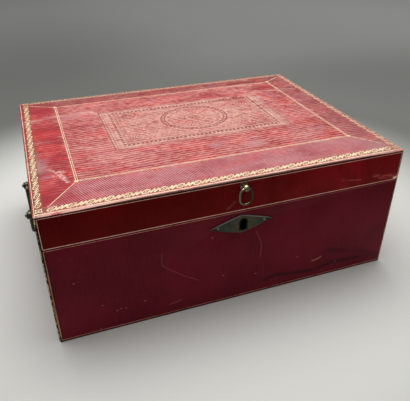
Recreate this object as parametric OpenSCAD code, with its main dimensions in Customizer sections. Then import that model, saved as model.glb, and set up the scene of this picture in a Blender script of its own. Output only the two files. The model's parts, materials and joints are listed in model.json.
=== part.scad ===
// Lidded document box: a wooden carcass covered in leather, with a half-mortise
// lock, two butt hinges, a drop handle on each side and a pull ring on the lid.
// Origin: middle of the underside. X to the right, Y to the back, Z up.

/* [Case] */
// Width of the box over its leather
box_w = 400; // [340:1:480]
// Depth of the box over its leather
box_d = 300; // [250:1:360]
// Height of the closed box
box_h = 156; // [146:1:200]
// Height of the lid over its leather
lid_h = 37; // [34:1:48]
// Gap between the rims when the lid is down
seam_gap = 0.5; // [0.4:0.1:0.8]
// Radius of the upright corners
corner_r = 2; // [1.3:0.1:4]

/* [Boards] */
// Thickness of the wall boards
wall_t = 10; // [9.5:0.5:14]
// Thickness of the bottom board
bottom_t = 8; // [6:0.5:12]
// Thickness of the lid's top board
lid_top_t = 8; // [7.5:0.5:9]
// Depth of the corner rebates in the front and back boards
rebate_depth = 5; // [3:0.5:6]
// Radius of a carcass nail's shank
nail_r = 0.8; // [0.6:0.1:1]
// Length of a carcass nail
nail_len = 24; // [18:1:26]
// Distance between the nails along a board
nail_pitch = 100; // [80:5:120]

/* [Leather and lining] */
// Thickness of the leather
leather_t = 1.2; // [0.8:0.1:1.4]
// Width of the leather turned under the bottom
turn_in = 16; // [8:1:30]
// Height of the shadow groove under the top leather's edge
lip_gap_h = 0.9; // [0.5:0.1:1.5]
// Depth of the shadow groove under the top leather's edge
lip_gap_depth = 0.5; // [0.3:0.1:0.6]
// Thickness of the lining
lining_t = 0.8; // [0.5:0.1:1.2]

/* [Hinges] */
// Distance from the middle of one hinge to the middle of the other
hinge_spacing = 230; // [180:1:270]
// Length of a hinge
hinge_len = 50; // [45:1:60]
// Outer radius of the knuckles
knuckle_r = 2.5; // [2.3:0.1:2.8]
// Distance from the box's back face to the hinge axis
hinge_inset = 1.5; // [1.3:0.1:1.7]
// Thickness of a hinge leaf
leaf_t = 1.5; // [1.4:0.1:2]
// Width of a leaf from the hinge axis to its inner edge
leaf_reach = 7.2; // [6.8:0.1:8]
// Radius of the hinge pin
hinge_pin_r = 1.25; // [1:0.05:1.4]
// Angle of the bevels on the rear edges, which stop the lid
stop_bevel = 48; // [46:1:50]
// Distance of each bevel from the hinge axis
bevel_offset = 0.15; // [0.1:0.05:0.25]

/* [Lock] */
// Keyhole's distance to the right of the middle
keyhole_x = 4.3; // [-6:0.1:6]
// Drop from the base's rim to the middle of the keyhole's round end
keyhole_drop = 13.6; // [13.4:0.1:15]
// Radius of the keyhole's round end
keyhole_r = 4.1; // [3.9:0.1:4.4]
// Width of the keyhole's slot
keyhole_slot_w = 7.4; // [6:0.1:7.6]
// Length of the slot below the middle of the round end
keyhole_slot_len = 9.9; // [8:0.1:11]
// Width of the lock plate
lock_w = 60; // [56:1:70]
// Height of the lock plate
lock_h = 30; // [29:1:36]
// Depth of the lock, from the lining to the case's front
lock_depth = 8.8; // [8.6:0.1:9]
// Thickness of the lock plate
lock_plate_t = 2.3; // [2:0.1:2.4]
// Thickness of the lock's top edge plate
selvedge_t = 1.8; // [1.5:0.1:2]
// Width of the lock case
case_w = 46; // [45:1:47]
// Height of the lock case
case_h = 25.5; // [24.5:0.5:26]
// Wall of the lock case
case_wall = 1; // [0.8:0.1:1.1]
// Travel of the bolt
bolt_travel = 5; // [4:0.5:5]
// Length of the bolt
bolt_len = 36; // [35:0.5:37]
// Height of the bolt
bolt_h = 8.7; // [8.5:0.1:8.8]
// Thickness of the bolt
bolt_t = 1.6; // [1.2:0.1:1.8]
// Distance from the keyhole to each staple
staple_offset = 11; // [10.8:0.1:11.2]
// Drop of the staples below the lid's rim
staple_drop = 9.5; // [9.2:0.1:9.7]
// Width of the strike plate
strike_w = 56; // [52:1:64]

/* [Escutcheon] */
// Escutcheon's distance to the right of the middle
escutcheon_x = 2.5; // [-4:0.1:6]
// Height of the escutcheon's middle
escutcheon_z = 103; // [101:0.5:104]
// Length of the escutcheon from point to point
escutcheon_w = 72; // [64:1:84]
// Height of the escutcheon
escutcheon_h = 22; // [20.5:0.5:24]
// Thickness of the escutcheon
escutcheon_t = 1.2; // [0.8:0.1:1.6]
// Distance from the escutcheon's middle to each of its pins
escutcheon_pin_x = 26.5; // [22:0.5:28]

/* [Pull ring] */
// Ring post's distance to the right of the middle
ring_x = 3; // [-6:0.5:6]
// Distance from the box's top to the ring's axis
ring_drop = 6.7; // [6:0.1:7.2]
// Distance from the lid's front to the ring's axis
ring_offset = 7; // [6.5:0.1:9]
// Radius of the ball that holds the ring
ring_ball_r = 3.6; // [3.5:0.1:4]
// Radius of the hole in the ball
ring_hole_r = 1.95; // [1.9:0.05:2.2]
// Radius of the ring's wire
ring_wire_r = 1.05; // [1:0.05:1.2]
// Radius of the ring's round ends, to the middle of the wire
ring_bend_r = 6.8; // [6.2:0.1:7.6]
// Length of the ring's straight sides
ring_straight = 5.2; // [1:0.2:6]

/* [Handles] */
// Distance from the middle of the side to each handle post
handle_half = 36; // [32:1:60]
// Height of the handle posts
handle_z = 90.5; // [80:0.5:98]
// Distance from the side to the bail's axis
handle_offset = 6.6; // [6.4:0.1:8]
// Radius of the ball that the bail turns in
handle_ball_r = 4.8; // [4.6:0.1:5.2]
// Radius of the collar at the foot of the post's pointed tip
handle_collar_r = 4.3; // [4:0.1:4.6]
// Radius of the rose under the post
handle_rose_r = 8; // [7:0.5:10]
// Drop from the bail's axis to the middle of its grip
bail_drop = 31; // [26:1:46]
// Radius of the bail's bar
bail_r = 2.8; // [2.4:0.1:3]
// Radius of the bail's turning ends
bail_end_r = 1.85; // [1.5:0.05:2]

/* [Hidden] */
$fn = 48;

// Extra length of every cutting tool past the face that it cuts
past = 1;

// Levels of the carcass
base_h = box_h - lid_h - seam_gap;
lid_z = box_h - lid_h;
floor_z = leather_t + bottom_t;
base_rim_z = base_h - leather_t;
lid_rim_z = lid_z + leather_t;
ceiling_z = box_h - leather_t - lid_top_t;

// Plan sizes of the boards, of the space inside them and of the lined space
board_w = box_w - 2 * leather_t;
board_d = box_d - 2 * leather_t;
inner_w = board_w - 2 * wall_t;
inner_d = board_d - 2 * wall_t;
lined_w = inner_w - 2 * lining_t;
lined_d = inner_d - 2 * lining_t;
side_board_len = inner_d + 2 * rebate_depth;

// Nails
nail_head_r = 1.6;
nail_head_t = 0.6;
nail_end_margin = 35;
corner_nail_margin = 14;
lid_corner_nail_margin = 6;

// Wood screws of the lock and the hinges
screw_r = 1;
screw_head_r = 1.7;
screw_len = 7.5;
hinge_screw_len = 10;
screw_slot = 0.45;

// Hinge axis, knuckles and fits
axis_y = box_d / 2 - hinge_inset;
axis_z = base_h + seam_gap / 2;
knuckle_count = 5;
knuckle_len = hinge_len / knuckle_count;
knuckle_end_gap = 0.1;
knuckle_room = 0.25;
barrel_room = 0.3;
pin_fit = 0.05;
pin_head_r = 1.9;
pin_head_t = 0.5;
hinge_screw_y = 4.6;
hinge_screw_x = hinge_len / 2 - 8;

// Lock: the lining's face, the hollow of the case and the bolt in its middle
lock_face = -lined_d / 2;
case_z = base_h - selvedge_t - case_h;
case_hollow = lock_depth - lock_plate_t - case_wall;
bolt_y = lock_face - lock_plate_t - case_hollow / 2;
bolt_top = base_h - selvedge_t - 1.6;
bolt_bottom = bolt_top - bolt_h;
bolt_left = keyhole_x - bolt_len / 2 - bolt_travel / 2;
keyhole_z = base_h - keyhole_drop;
key_pin_r = 1.2;
key_pin_len = case_hollow + 0.8;
talon_w = 5;
talon_h = 2;
guide_x = 9;
guide_w = 5;
guide_h = 1;
guide_gap = 0.1;
lock_screw_x = (lock_w + case_w) / 4;
lock_screw_drops = [9.4, 25.6];
selvedge_screw_y = lock_face - 5.4;
spring_t = 0.4;
spring_w = 3;
spring_foot = 3;
spring_len = 10.5;

// Strike plate and its staples
strike_t = 1.8;
staple_t = 2;
staple_leg = 0.9;
staple_room = 0.4;
staple_w = bolt_t + 2 * staple_room + 2 * staple_leg;
staple_bar = 2;
staple_z = lid_z - staple_drop;
slot_room = 0.6;
hook_room = 0.5;
strike_screw_x = strike_w / 2 - 6;

// Escutcheon: the sides bow out a little, by this power
escutcheon_bow = 1.2;
escutcheon_steps = 8;
escutcheon_pin_r = 0.7;
escutcheon_pin_len = 5;
escutcheon_pin_head_r = 1.7;
escutcheon_pin_head_t = 0.9;

// Pull ring and its post
ring_z = box_h - ring_drop;
ring_y = -box_d / 2 - ring_offset;
// The top of the ring stands this much above the middle of the ball's hole
ring_rise = 0.05;
ring_half_h = ring_bend_r + ring_straight / 2;
ring_rose_r = 4.2;
ring_rose_t = 1.2;
ring_stem_r = 1.8;
ring_shank_r = 1.6;
ring_shank_len = 14;

// Handle posts, nuts and bail
handle_rose_t = 1.2;
handle_stem_r = 3.4;
handle_collar_z = 3.2;
handle_collar_t = 0.6;
handle_waist_r = 2.3;
handle_waist_h = 1.4;
handle_tip_r = 0.8;
handle_tip_h = 2.8;
handle_shank_r = 2.5;
handle_shank_room = 0.1;
bail_fit = 0.05;
bail_bore_past = 2;
bail_end_past = 1.5;
bail_side_gap = 1;
bail_neck = 0.6;
bail_top_bend = 4;
bail_low_bend = 9;
bail_neck_y = handle_half - handle_ball_r - bail_side_gap;
bail_arm_y = bail_neck_y - bail_neck - bail_top_bend;
washer_r = 6;
washer_t = 0.8;
nut_w = 7.5;
nut_t = 3;
nut_recess_room = 0.4;
nut_recess = washer_t + nut_t + nut_recess_room;
handle_shank_len = leather_t + wall_t - nut_recess_room;

// Places spread evenly along a length, no further apart than the pitch
function spread(length, pitch) =
    let (n = floor(length / pitch)) [for (i = [0 : n]) (i - n / 2) * pitch];

module block(x, y, z) {
    translate([x[0], y[0], z[0]])
        cube([x[1] - x[0], y[1] - y[0], z[1] - z[0]]);
}

module centred_block(w, d, z0, z1) {
    block([-w / 2, w / 2], [-d / 2, d / 2], [z0, z1]);
}

module rounded_outline(w, d, r) {
    square([w - 2 * r, d], center = true);
    square([w, d - 2 * r], center = true);
    for (sx = [-1, 1], sy = [-1, 1])
        translate([sx * (w / 2 - r), sy * (d / 2 - r)]) circle(r = r);
}

// Turns the XY plane into the XZ plane, seen from the front
module upright() {
    rotate([90, 0, 0]) children();
}

// Turns the XY plane into the YZ plane, seen from the right
module sideways() {
    rotate([90, 0, 90]) children();
}

// A nail or screw points down from the top of its head at the origin
module carcass_nail() {
    point_h = 2 * nail_r;
    translate([0, 0, -nail_head_t]) cylinder(r = nail_head_r, h = nail_head_t);
    translate([0, 0, -nail_len + point_h]) cylinder(r = nail_r, h = nail_len - point_h);
    translate([0, 0, -nail_len]) cylinder(r1 = 0.1, r2 = nail_r, h = point_h);
}

module wood_screw(length, slotted = true) {
    head_h = screw_head_r - screw_r;
    point_h = 2 * screw_r;
    difference() {
        union() {
            translate([0, 0, -head_h]) cylinder(r1 = screw_r, r2 = screw_head_r, h = head_h);
            translate([0, 0, -length + point_h]) cylinder(r = screw_r, h = length - point_h);
            translate([0, 0, -length]) cylinder(r1 = 0.2, r2 = screw_r, h = point_h);
        }
        if (slotted)
            translate([0, 0, -screw_slot / 2 + past / 2])
                cube([2 * screw_head_r + past, screw_slot, screw_slot + past], center = true);
    }
}

// Carcass: places of the corner nails and of the nails through the top and bottom
module at_corner_nails(levels) {
    for (sx = [-1, 1], sy = [-1, 1], z = levels)
        translate([sx * (board_w - wall_t) / 2, sy * board_d / 2, z])
            rotate([-sy * 90, 0, 0]) children();
}

module at_wall_nails(z) {
    for (x = spread(board_w - 2 * nail_end_margin, nail_pitch), sy = [-1, 1])
        translate([x, sy * (board_d - wall_t) / 2, z]) children();
    for (y = spread(board_d - 2 * nail_end_margin, nail_pitch), sx = [-1, 1])
        translate([sx * (board_w - wall_t) / 2, y, z]) children();
}

module base_nail_set() {
    at_corner_nails([floor_z + corner_nail_margin, (floor_z + base_rim_z) / 2,
                     base_rim_z - corner_nail_margin]) carcass_nail();
    at_wall_nails(leather_t) rotate([180, 0, 0]) carcass_nail();
}

module lid_nail_set() {
    at_corner_nails([lid_rim_z + lid_corner_nail_margin, ceiling_z - lid_corner_nail_margin])
        carcass_nail();
    at_wall_nails(box_h - leather_t) carcass_nail();
}

// A front or back board; side is -1 for the front and 1 for the back
module long_board(side, z0, z1) {
    outer = side * board_d / 2;
    inner = side * inner_d / 2;
    step = side * (inner_d / 2 + rebate_depth);
    difference() {
        block([-board_w / 2, board_w / 2], [min(outer, inner), max(outer, inner)], [z0, z1]);
        for (s = [-1, 1]) {
            x0 = s * inner_w / 2;
            x1 = s * (board_w / 2 + past);
            y0 = min(step, inner - side * past);
            y1 = max(step, inner - side * past);
            block([min(x0, x1), max(x0, x1)], [y0, y1], [z0 - past, z1 + past]);
        }
    }
}

// A left or right board; side is -1 for the left and 1 for the right
module short_board(side, z0, z1) {
    x0 = side * inner_w / 2;
    x1 = side * board_w / 2;
    block([min(x0, x1), max(x0, x1)], [-side_board_len / 2, side_board_len / 2], [z0, z1]);
}

// Hinges: the origin of each is on the hinge axis, at the hinge's middle
module at_hinges(sides = [-1, 1]) {
    for (s = sides) translate([s * hinge_spacing / 2, axis_y, axis_z]) children();
}

module barrel(x0, x1, r) {
    translate([x0, 0, 0]) rotate([0, 90, 0]) cylinder(r = r, h = x1 - x0);
}

module at_hinge_screws(side) {
    for (x = [-hinge_screw_x, 0, hinge_screw_x])
        translate([x, -hinge_screw_y, side * seam_gap / 2])
            rotate([side > 0 ? 180 : 0, 0, 0]) children();
}

// Room in the rims for the leaves and the barrel
module hinge_room() {
    leaf_z = seam_gap / 2 + leaf_t;
    barrel_x = hinge_len / 2 + pin_head_t + barrel_room;
    at_hinges() {
        block([-hinge_len / 2, hinge_len / 2], [-leaf_reach, 0], [-leaf_z, leaf_z]);
        barrel(-barrel_x, barrel_x, knuckle_r + barrel_room);
    }
}

// The space past a rear bevel; side is -1 for the base's and 1 for the lid's
module stop_bevel_room(side) {
    y0 = -past;
    y1 = hinge_inset + past;
    offset_z = bevel_offset / cos(stop_bevel);
    z0 = side * (y0 * tan(stop_bevel) + offset_z);
    z1 = side * (y1 * tan(stop_bevel) + offset_z);
    translate([-box_w / 2 - past, axis_y, axis_z])
        sideways() linear_extrude(box_w + 2 * past)
            polygon([[y0, z0], [y1, z1], [y1, -side * 2], [y0, -side * 2]]);
}

// A leaf with its own knuckles; side is -1 for the base's and 1 for the lid's
module hinge_leaf(side) {
    own = side < 0 ? 0 : 1;
    other = 1 - own;
    leaf_z = side * seam_gap / 2;
    difference() {
        union() {
            block([-hinge_len / 2, hinge_len / 2], [-leaf_reach, 0],
                  [min(leaf_z, leaf_z + side * leaf_t), max(leaf_z, leaf_z + side * leaf_t)]);
            for (k = [own : 2 : knuckle_count - 1]) {
                x0 = -hinge_len / 2 + k * knuckle_len;
                barrel(x0 + (k > 0 ? knuckle_end_gap : 0),
                       x0 + knuckle_len - (k < knuckle_count - 1 ? knuckle_end_gap : 0),
                       knuckle_r);
            }
        }
        for (k = [other : 2 : knuckle_count - 1]) {
            x0 = -hinge_len / 2 + k * knuckle_len;
            barrel(x0 - knuckle_end_gap - (k == 0 ? past : 0),
                   x0 + knuckle_len + knuckle_end_gap + (k == knuckle_count - 1 ? past : 0),
                   knuckle_r + knuckle_room);
        }
        barrel(-hinge_len / 2 - past, hinge_len / 2 + past, hinge_pin_r + pin_fit);
        at_hinge_screws(side) wood_screw(hinge_screw_len, slotted = false);
    }
}

module hinge_pin() {
    barrel(-hinge_len / 2, hinge_len / 2, hinge_pin_r);
    barrel(-hinge_len / 2 - pin_head_t, -hinge_len / 2, pin_head_r);
    barrel(hinge_len / 2, hinge_len / 2 + pin_head_t, pin_head_r);
}

module hinge_screw_set(side, slotted) {
    at_hinges() at_hinge_screws(side) wood_screw(hinge_screw_len, slotted);
}

// Keyhole as a prism between two depths behind the front
module keyhole_prism(y0, y1) {
    translate([keyhole_x, y1, keyhole_z]) upright() linear_extrude(y1 - y0) {
        circle(r = keyhole_r);
        translate([0, -keyhole_slot_len + keyhole_slot_w / 2]) {
            circle(r = keyhole_slot_w / 2);
            translate([-keyhole_slot_w / 2, 0])
                square([keyhole_slot_w, keyhole_slot_len - keyhole_slot_w / 2]);
        }
    }
}

module lock_plate_block(grow) {
    block([keyhole_x - lock_w / 2, keyhole_x + lock_w / 2],
          [lock_face - lock_plate_t, lock_face + grow], [base_h - lock_h, base_h + grow]);
}

module lock_selvedge_block(grow) {
    block([keyhole_x - lock_w / 2, keyhole_x + lock_w / 2],
          [lock_face - lock_depth, lock_face + grow], [base_h - selvedge_t, base_h + grow]);
}

// Room in the front board, the rim leather and the lining for the lock
module lock_room() {
    lock_plate_block(past);
    lock_selvedge_block(past);
    block([keyhole_x - case_w / 2, keyhole_x + case_w / 2],
          [lock_face - lock_depth, lock_face + past], [case_z, base_h + past]);
}

module lock_screw_set(slotted) {
    for (s = [-1, 1]) {
        for (drop = lock_screw_drops)
            translate([keyhole_x + s * lock_screw_x, lock_face, base_h - drop])
                rotate([-90, 0, 0]) wood_screw(screw_len, slotted);
        translate([keyhole_x + s * lock_screw_x, selvedge_screw_y, base_h])
            wood_screw(screw_len, slotted);
    }
}

module at_staples() {
    for (s = [-1, 1]) translate([keyhole_x + s * staple_offset, bolt_y, 0]) children();
}

module strike_block(grow) {
    block([keyhole_x - strike_w / 2, keyhole_x + strike_w / 2],
          [lock_face - lock_depth, lock_face + grow], [lid_z - grow, lid_z + strike_t]);
}

module strike_screw_set(slotted) {
    for (s = [-1, 1])
        translate([keyhole_x + s * strike_screw_x, lock_face - lock_depth / 2, lid_z])
            rotate([180, 0, 0]) wood_screw(hinge_screw_len, slotted);
}

module at_escutcheon_pins() {
    for (s = [-1, 1])
        translate([escutcheon_x + s * escutcheon_pin_x, -box_d / 2 - escutcheon_t, escutcheon_z])
            upright() children();
}

module escutcheon_pin_shanks() {
    length = escutcheon_t + leather_t + escutcheon_pin_len;
    at_escutcheon_pins() translate([0, 0, -length]) cylinder(r = escutcheon_pin_r, h = length);
}

// A domed head on the XY plane
module dome(r, h) {
    ball_r = (r * r + h * h) / (2 * h);
    intersection() {
        translate([0, 0, h - ball_r]) sphere(r = ball_r);
        cylinder(r = r, h = h);
    }
}

// Handle posts stand on the side with Z outward; side is -1 at the left
module at_handle_posts(side) {
    for (sy = [-1, 1])
        translate([side * box_w / 2, sy * handle_half, handle_z])
            rotate([0, side * 90, 0]) scale([1, sy, 1]) children();
}

module handle_shank_holes(side) {
    at_handle_posts(side)
        translate([0, 0, -leather_t - wall_t - past])
            cylinder(r = handle_shank_r + handle_shank_room, h = leather_t + wall_t + 2 * past);
}

module nut_recesses(side) {
    at_handle_posts(side)
        translate([0, 0, -leather_t - wall_t - past])
            cylinder(r = washer_r + nut_recess_room, h = nut_recess + past);
}

// The pointed tip of a post, turned round Z, on the collar's foot
module handle_tip() {
    rotate_extrude() polygon([[0, 0], [handle_collar_r, 0], [handle_collar_r, handle_collar_t],
                              [handle_waist_r, handle_waist_h], [handle_tip_r, handle_tip_h],
                              [0, handle_tip_h]]);
}

module handle_post() {
    difference() {
        union() {
            cylinder(r = handle_rose_r, h = handle_rose_t);
            cylinder(r = handle_stem_r, h = handle_offset);
            translate([0, 0, handle_offset]) sphere(r = handle_ball_r);
            translate([0, 0, handle_offset + handle_collar_z]) handle_tip();
            translate([0, 0, -handle_shank_len])
                cylinder(r = handle_shank_r, h = handle_shank_len);
        }
        translate([0, bail_bore_past, handle_offset])
            rotate([90, 0, 0])
                cylinder(r = bail_end_r + bail_fit, h = handle_ball_r + bail_bore_past + past);
    }
}

module washer() {
    difference() {
        cylinder(r = washer_r, h = washer_t);
        translate([0, 0, -past])
            cylinder(r = handle_shank_r + handle_shank_room, h = washer_t + 2 * past);
    }
}

module square_nut() {
    difference() {
        translate([-nut_w / 2, -nut_w / 2, 0]) cube([nut_w, nut_w, nut_t]);
        translate([0, 0, -past]) cylinder(r = handle_shank_r, h = nut_t + 2 * past);
    }
}

module handle_washers(side) {
    at_handle_posts(side) translate([0, 0, -leather_t - wall_t + nut_recess - washer_t]) washer();
}

module handle_nuts(side) {
    at_handle_posts(side)
        translate([0, 0, -leather_t - wall_t + nut_recess - washer_t - nut_t]) square_nut();
}

// An arc of round bar in the XY plane
module bar_arc(bend_r, bar_r, start, sweep) {
    rotate([0, 0, start]) rotate_extrude(angle = sweep) translate([bend_r, 0]) circle(r = bar_r);
}

module bail_half() {
    end_y = handle_half + bail_end_past;
    arm_low = -bail_drop + bail_low_bend;
    grip_y = bail_arm_y - bail_low_bend;
    translate([0, bail_neck_y, 0]) rotate([-90, 0, 0])
        cylinder(r = bail_end_r, h = end_y - bail_neck_y);
    translate([0, bail_neck_y - bail_neck, 0]) rotate([-90, 0, 0])
        cylinder(r = bail_r, h = bail_neck);
    translate([0, bail_neck_y - bail_neck, -bail_top_bend]) sideways()
        bar_arc(bail_top_bend, bail_r, 90, 90);
    translate([0, bail_arm_y, arm_low]) cylinder(r = bail_r, h = -bail_top_bend - arm_low);
    translate([0, grip_y, arm_low]) sideways() bar_arc(bail_low_bend, bail_r, -90, 90);
    translate([0, 0, -bail_drop]) rotate([-90, 0, 0]) cylinder(r = bail_r, h = grip_y);
}

module handle_bail(side) {
    translate([side * (box_w / 2 + handle_offset), 0, handle_z]) {
        bail_half();
        mirror([0, 1, 0]) bail_half();
    }
}

module ring_screw_shank() {
    point_h = 2 * ring_shank_r;
    translate([0, 0, -ring_shank_len + point_h])
        cylinder(r = ring_shank_r, h = ring_shank_len - point_h);
    translate([0, 0, -ring_shank_len]) cylinder(r1 = 0.2, r2 = ring_shank_r, h = point_h);
}

module at_ring_post() {
    translate([ring_x, -box_d / 2, ring_z]) upright() children();
}

// Sub-parts of the base
module base_front_board() {
    color("burlywood") difference() {
        long_board(-1, floor_z, base_rim_z);
        base_nail_set();
        lock_room();
        lock_screw_set(false);
        keyhole_prism(-board_d / 2 - past, lock_face);
        escutcheon_pin_shanks();
    }
}

module base_back_board() {
    color("burlywood") difference() {
        long_board(1, floor_z, base_rim_z);
        base_nail_set();
        hinge_room();
        stop_bevel_room(-1);
        hinge_screw_set(-1, false);
    }
}

module base_side_board(side) {
    color("burlywood") difference() {
        short_board(side, floor_z, base_rim_z);
        base_nail_set();
        handle_shank_holes(side);
        nut_recesses(side);
    }
}

module base_left_board() {
    base_side_board(-1);
}

module base_right_board() {
    base_side_board(1);
}

module base_bottom_board() {
    color("tan") difference() {
        centred_block(board_w, board_d, leather_t, floor_z);
        base_nail_set();
    }
}

module base_nails() {
    color("dimgray") base_nail_set();
}

module base_leather() {
    color("darkred") difference() {
        linear_extrude(base_h) rounded_outline(box_w, box_d, corner_r);
        centred_block(board_w, board_d, leather_t, base_rim_z);
        centred_block(lined_w, lined_d, base_rim_z - past, base_h + past);
        centred_block(board_w - 2 * turn_in, board_d - 2 * turn_in, -past, leather_t + past);
        hinge_room();
        stop_bevel_room(-1);
        lock_room();
        keyhole_prism(-box_d / 2 - past, -board_d / 2 + past);
        escutcheon_pin_shanks();
        handle_shank_holes(-1);
        handle_shank_holes(1);
    }
}

module underside_cover() {
    color("saddlebrown")
        centred_block(board_w - 2 * turn_in, board_d - 2 * turn_in, 0, leather_t);
}

module base_wall_lining() {
    color("darkseagreen") difference() {
        centred_block(inner_w, inner_d, floor_z, base_rim_z);
        centred_block(lined_w, lined_d, floor_z - past, base_rim_z + past);
        lock_room();
    }
}

module base_floor_lining() {
    color("darkseagreen") centred_block(lined_w, lined_d, floor_z, floor_z + lining_t);
}

// Sub-parts of the lid
module lid_front_board() {
    color("burlywood") difference() {
        long_board(-1, lid_rim_z, ceiling_z);
        lid_nail_set();
        strike_block(past);
        strike_screw_set(false);
    }
}

module lid_back_board() {
    color("burlywood") difference() {
        long_board(1, lid_rim_z, ceiling_z);
        lid_nail_set();
        hinge_room();
        stop_bevel_room(1);
        hinge_screw_set(1, false);
    }
}

module lid_side_board(side) {
    color("burlywood") difference() {
        short_board(side, lid_rim_z, ceiling_z);
        lid_nail_set();
    }
}

module lid_left_board() {
    lid_side_board(-1);
}

module lid_right_board() {
    lid_side_board(1);
}

module lid_top_board() {
    color("tan") difference() {
        centred_block(board_w, board_d, ceiling_z, box_h - leather_t);
        lid_nail_set();
        at_ring_post() ring_screw_shank();
    }
}

module lid_nails() {
    color("dimgray") lid_nail_set();
}

module lid_side_leather() {
    top_z = box_h - leather_t;
    groove_w = box_w - 2 * lip_gap_depth;
    groove_d = box_d - 2 * lip_gap_depth;
    color("darkred") difference() {
        union() {
            translate([0, 0, lid_z]) linear_extrude(top_z - lip_gap_h - lid_z)
                rounded_outline(box_w, box_d, corner_r);
            translate([0, 0, top_z - lip_gap_h]) linear_extrude(lip_gap_h)
                rounded_outline(groove_w, groove_d, corner_r - lip_gap_depth);
        }
        centred_block(board_w, board_d, lid_rim_z, box_h + past);
        centred_block(lined_w, lined_d, lid_z - past, lid_rim_z + past);
        hinge_room();
        stop_bevel_room(1);
        strike_block(past);
        at_ring_post() ring_screw_shank();
    }
}

module lid_top_leather() {
    color("firebrick") translate([0, 0, box_h - leather_t])
        linear_extrude(leather_t) rounded_outline(box_w, box_d, corner_r);
}

module lid_wall_lining() {
    color("darkseagreen") difference() {
        centred_block(inner_w, inner_d, lid_rim_z, ceiling_z);
        centred_block(lined_w, lined_d, lid_rim_z - past, ceiling_z + past);
        strike_block(past);
    }
}

module lid_top_lining() {
    color("darkseagreen") centred_block(lined_w, lined_d, ceiling_z - lining_t, ceiling_z);
}

// Hinge sub-parts
module hinge_left_base_leaf() {
    color("goldenrod") at_hinges([-1]) hinge_leaf(-1);
}

module hinge_left_lid_leaf() {
    color("goldenrod") at_hinges([-1]) hinge_leaf(1);
}

module hinge_left_pin() {
    color("gray") at_hinges([-1]) hinge_pin();
}

module hinge_right_base_leaf() {
    color("goldenrod") at_hinges([1]) hinge_leaf(-1);
}

module hinge_right_lid_leaf() {
    color("goldenrod") at_hinges([1]) hinge_leaf(1);
}

module hinge_right_pin() {
    color("gray") at_hinges([1]) hinge_pin();
}

module hinge_base_screws() {
    color("peru") hinge_screw_set(-1, true);
}

module hinge_lid_screws() {
    color("peru") hinge_screw_set(1, true);
}

// Lock sub-parts
module lock_plate() {
    guide_z = bolt_bottom - guide_gap;
    color("goldenrod") difference() {
        union() {
            lock_plate_block(0);
            lock_selvedge_block(0);
            for (x = [keyhole_x - guide_x - guide_w, keyhole_x + guide_x])
                block([x, x + guide_w], [bolt_y - bolt_t / 2, lock_face - lock_plate_t],
                      [guide_z - guide_h, guide_z]);
        }
        lock_screw_set(false);
        at_staples()
            block([-staple_t / 2 - slot_room, staple_t / 2 + slot_room],
                  [-staple_w / 2 - slot_room, staple_w / 2 + slot_room],
                  [base_h - selvedge_t - past, base_h + past]);
    }
}

module lock_case() {
    x = case_w / 2;
    front = lock_face - lock_depth;
    back = lock_face - lock_plate_t;
    color("darkgoldenrod") difference() {
        block([keyhole_x - x, keyhole_x + x], [front, back], [case_z, base_h - selvedge_t]);
        block([keyhole_x - x + case_wall, keyhole_x + x - case_wall],
              [front + case_wall, back + past], [case_z + case_wall, base_h]);
        keyhole_prism(front - past, front + 2 * case_wall);
    }
}

module lock_key_pin() {
    color("gray") translate([keyhole_x, lock_face - lock_plate_t, keyhole_z])
        upright() cylinder(r = key_pin_r, h = key_pin_len);
}

// The bolt slides to the right, and its two hooks pass through the staples
module lock_bolt() {
    notch = staple_t / 2 + slot_room;
    hook = bolt_travel + staple_t / 2 + slot_room;
    slot_z = staple_z - hook_room;
    color("silver") difference() {
        block([bolt_left, bolt_left + bolt_len], [bolt_y - bolt_t / 2, bolt_y + bolt_t / 2],
              [bolt_bottom, bolt_top]);
        at_staples() {
            block([-notch, notch], [-bolt_t, bolt_t], [slot_z, bolt_top + past]);
            block([-hook, notch], [-bolt_t, bolt_t],
                  [slot_z, staple_z + staple_bar + hook_room]);
        }
        block([keyhole_x - talon_w / 2, keyhole_x + talon_w / 2],
              [bolt_y - bolt_t, bolt_y + bolt_t], [bolt_bottom - past, bolt_bottom + talon_h]);
    }
}

module lock_bolt_spring() {
    x0 = keyhole_x - spring_len / 2;
    top = base_h - selvedge_t;
    tip = bolt_top + guide_gap;
    color("gray") translate([0, bolt_y + spring_w / 2, 0]) upright() linear_extrude(spring_w)
        polygon([[x0, top], [x0 + spring_foot, top], [x0 + spring_len, tip + spring_t],
                 [x0 + spring_len, tip], [x0 + spring_foot, top - spring_t],
                 [x0, top - spring_t]]);
}

module lock_screws() {
    color("peru") lock_screw_set(true);
}

module strike_plate() {
    y = staple_w / 2;
    color("goldenrod") {
        difference() {
            strike_block(0);
            strike_screw_set(false);
        }
        at_staples() difference() {
            block([-staple_t / 2, staple_t / 2], [-y, y], [staple_z, lid_z]);
            block([-staple_t, staple_t], [-y + staple_leg, y - staple_leg],
                  [staple_z + staple_bar, lid_z]);
        }
    }
}

module strike_screws() {
    color("peru") strike_screw_set(true);
}

// Front fittings
module escutcheon() {
    outline = [for (i = [-escutcheon_steps : escutcheon_steps])
        let (t = abs(i) / escutcheon_steps)
            [i / escutcheon_steps * escutcheon_w / 2,
             (1 - pow(t, escutcheon_bow)) * escutcheon_h / 2]];
    lower = [for (i = [len(outline) - 2 : -1 : 1]) [outline[i][0], -outline[i][1]]];
    color("darkolivegreen") difference() {
        translate([escutcheon_x, -box_d / 2, escutcheon_z]) upright()
            linear_extrude(escutcheon_t) polygon(concat(outline, lower));
        keyhole_prism(-box_d / 2 - escutcheon_t - past, -box_d / 2 + past);
        escutcheon_pin_shanks();
    }
}

module escutcheon_pins() {
    color("olive") {
        escutcheon_pin_shanks();
        at_escutcheon_pins() dome(escutcheon_pin_head_r, escutcheon_pin_head_t);
    }
}

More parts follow.
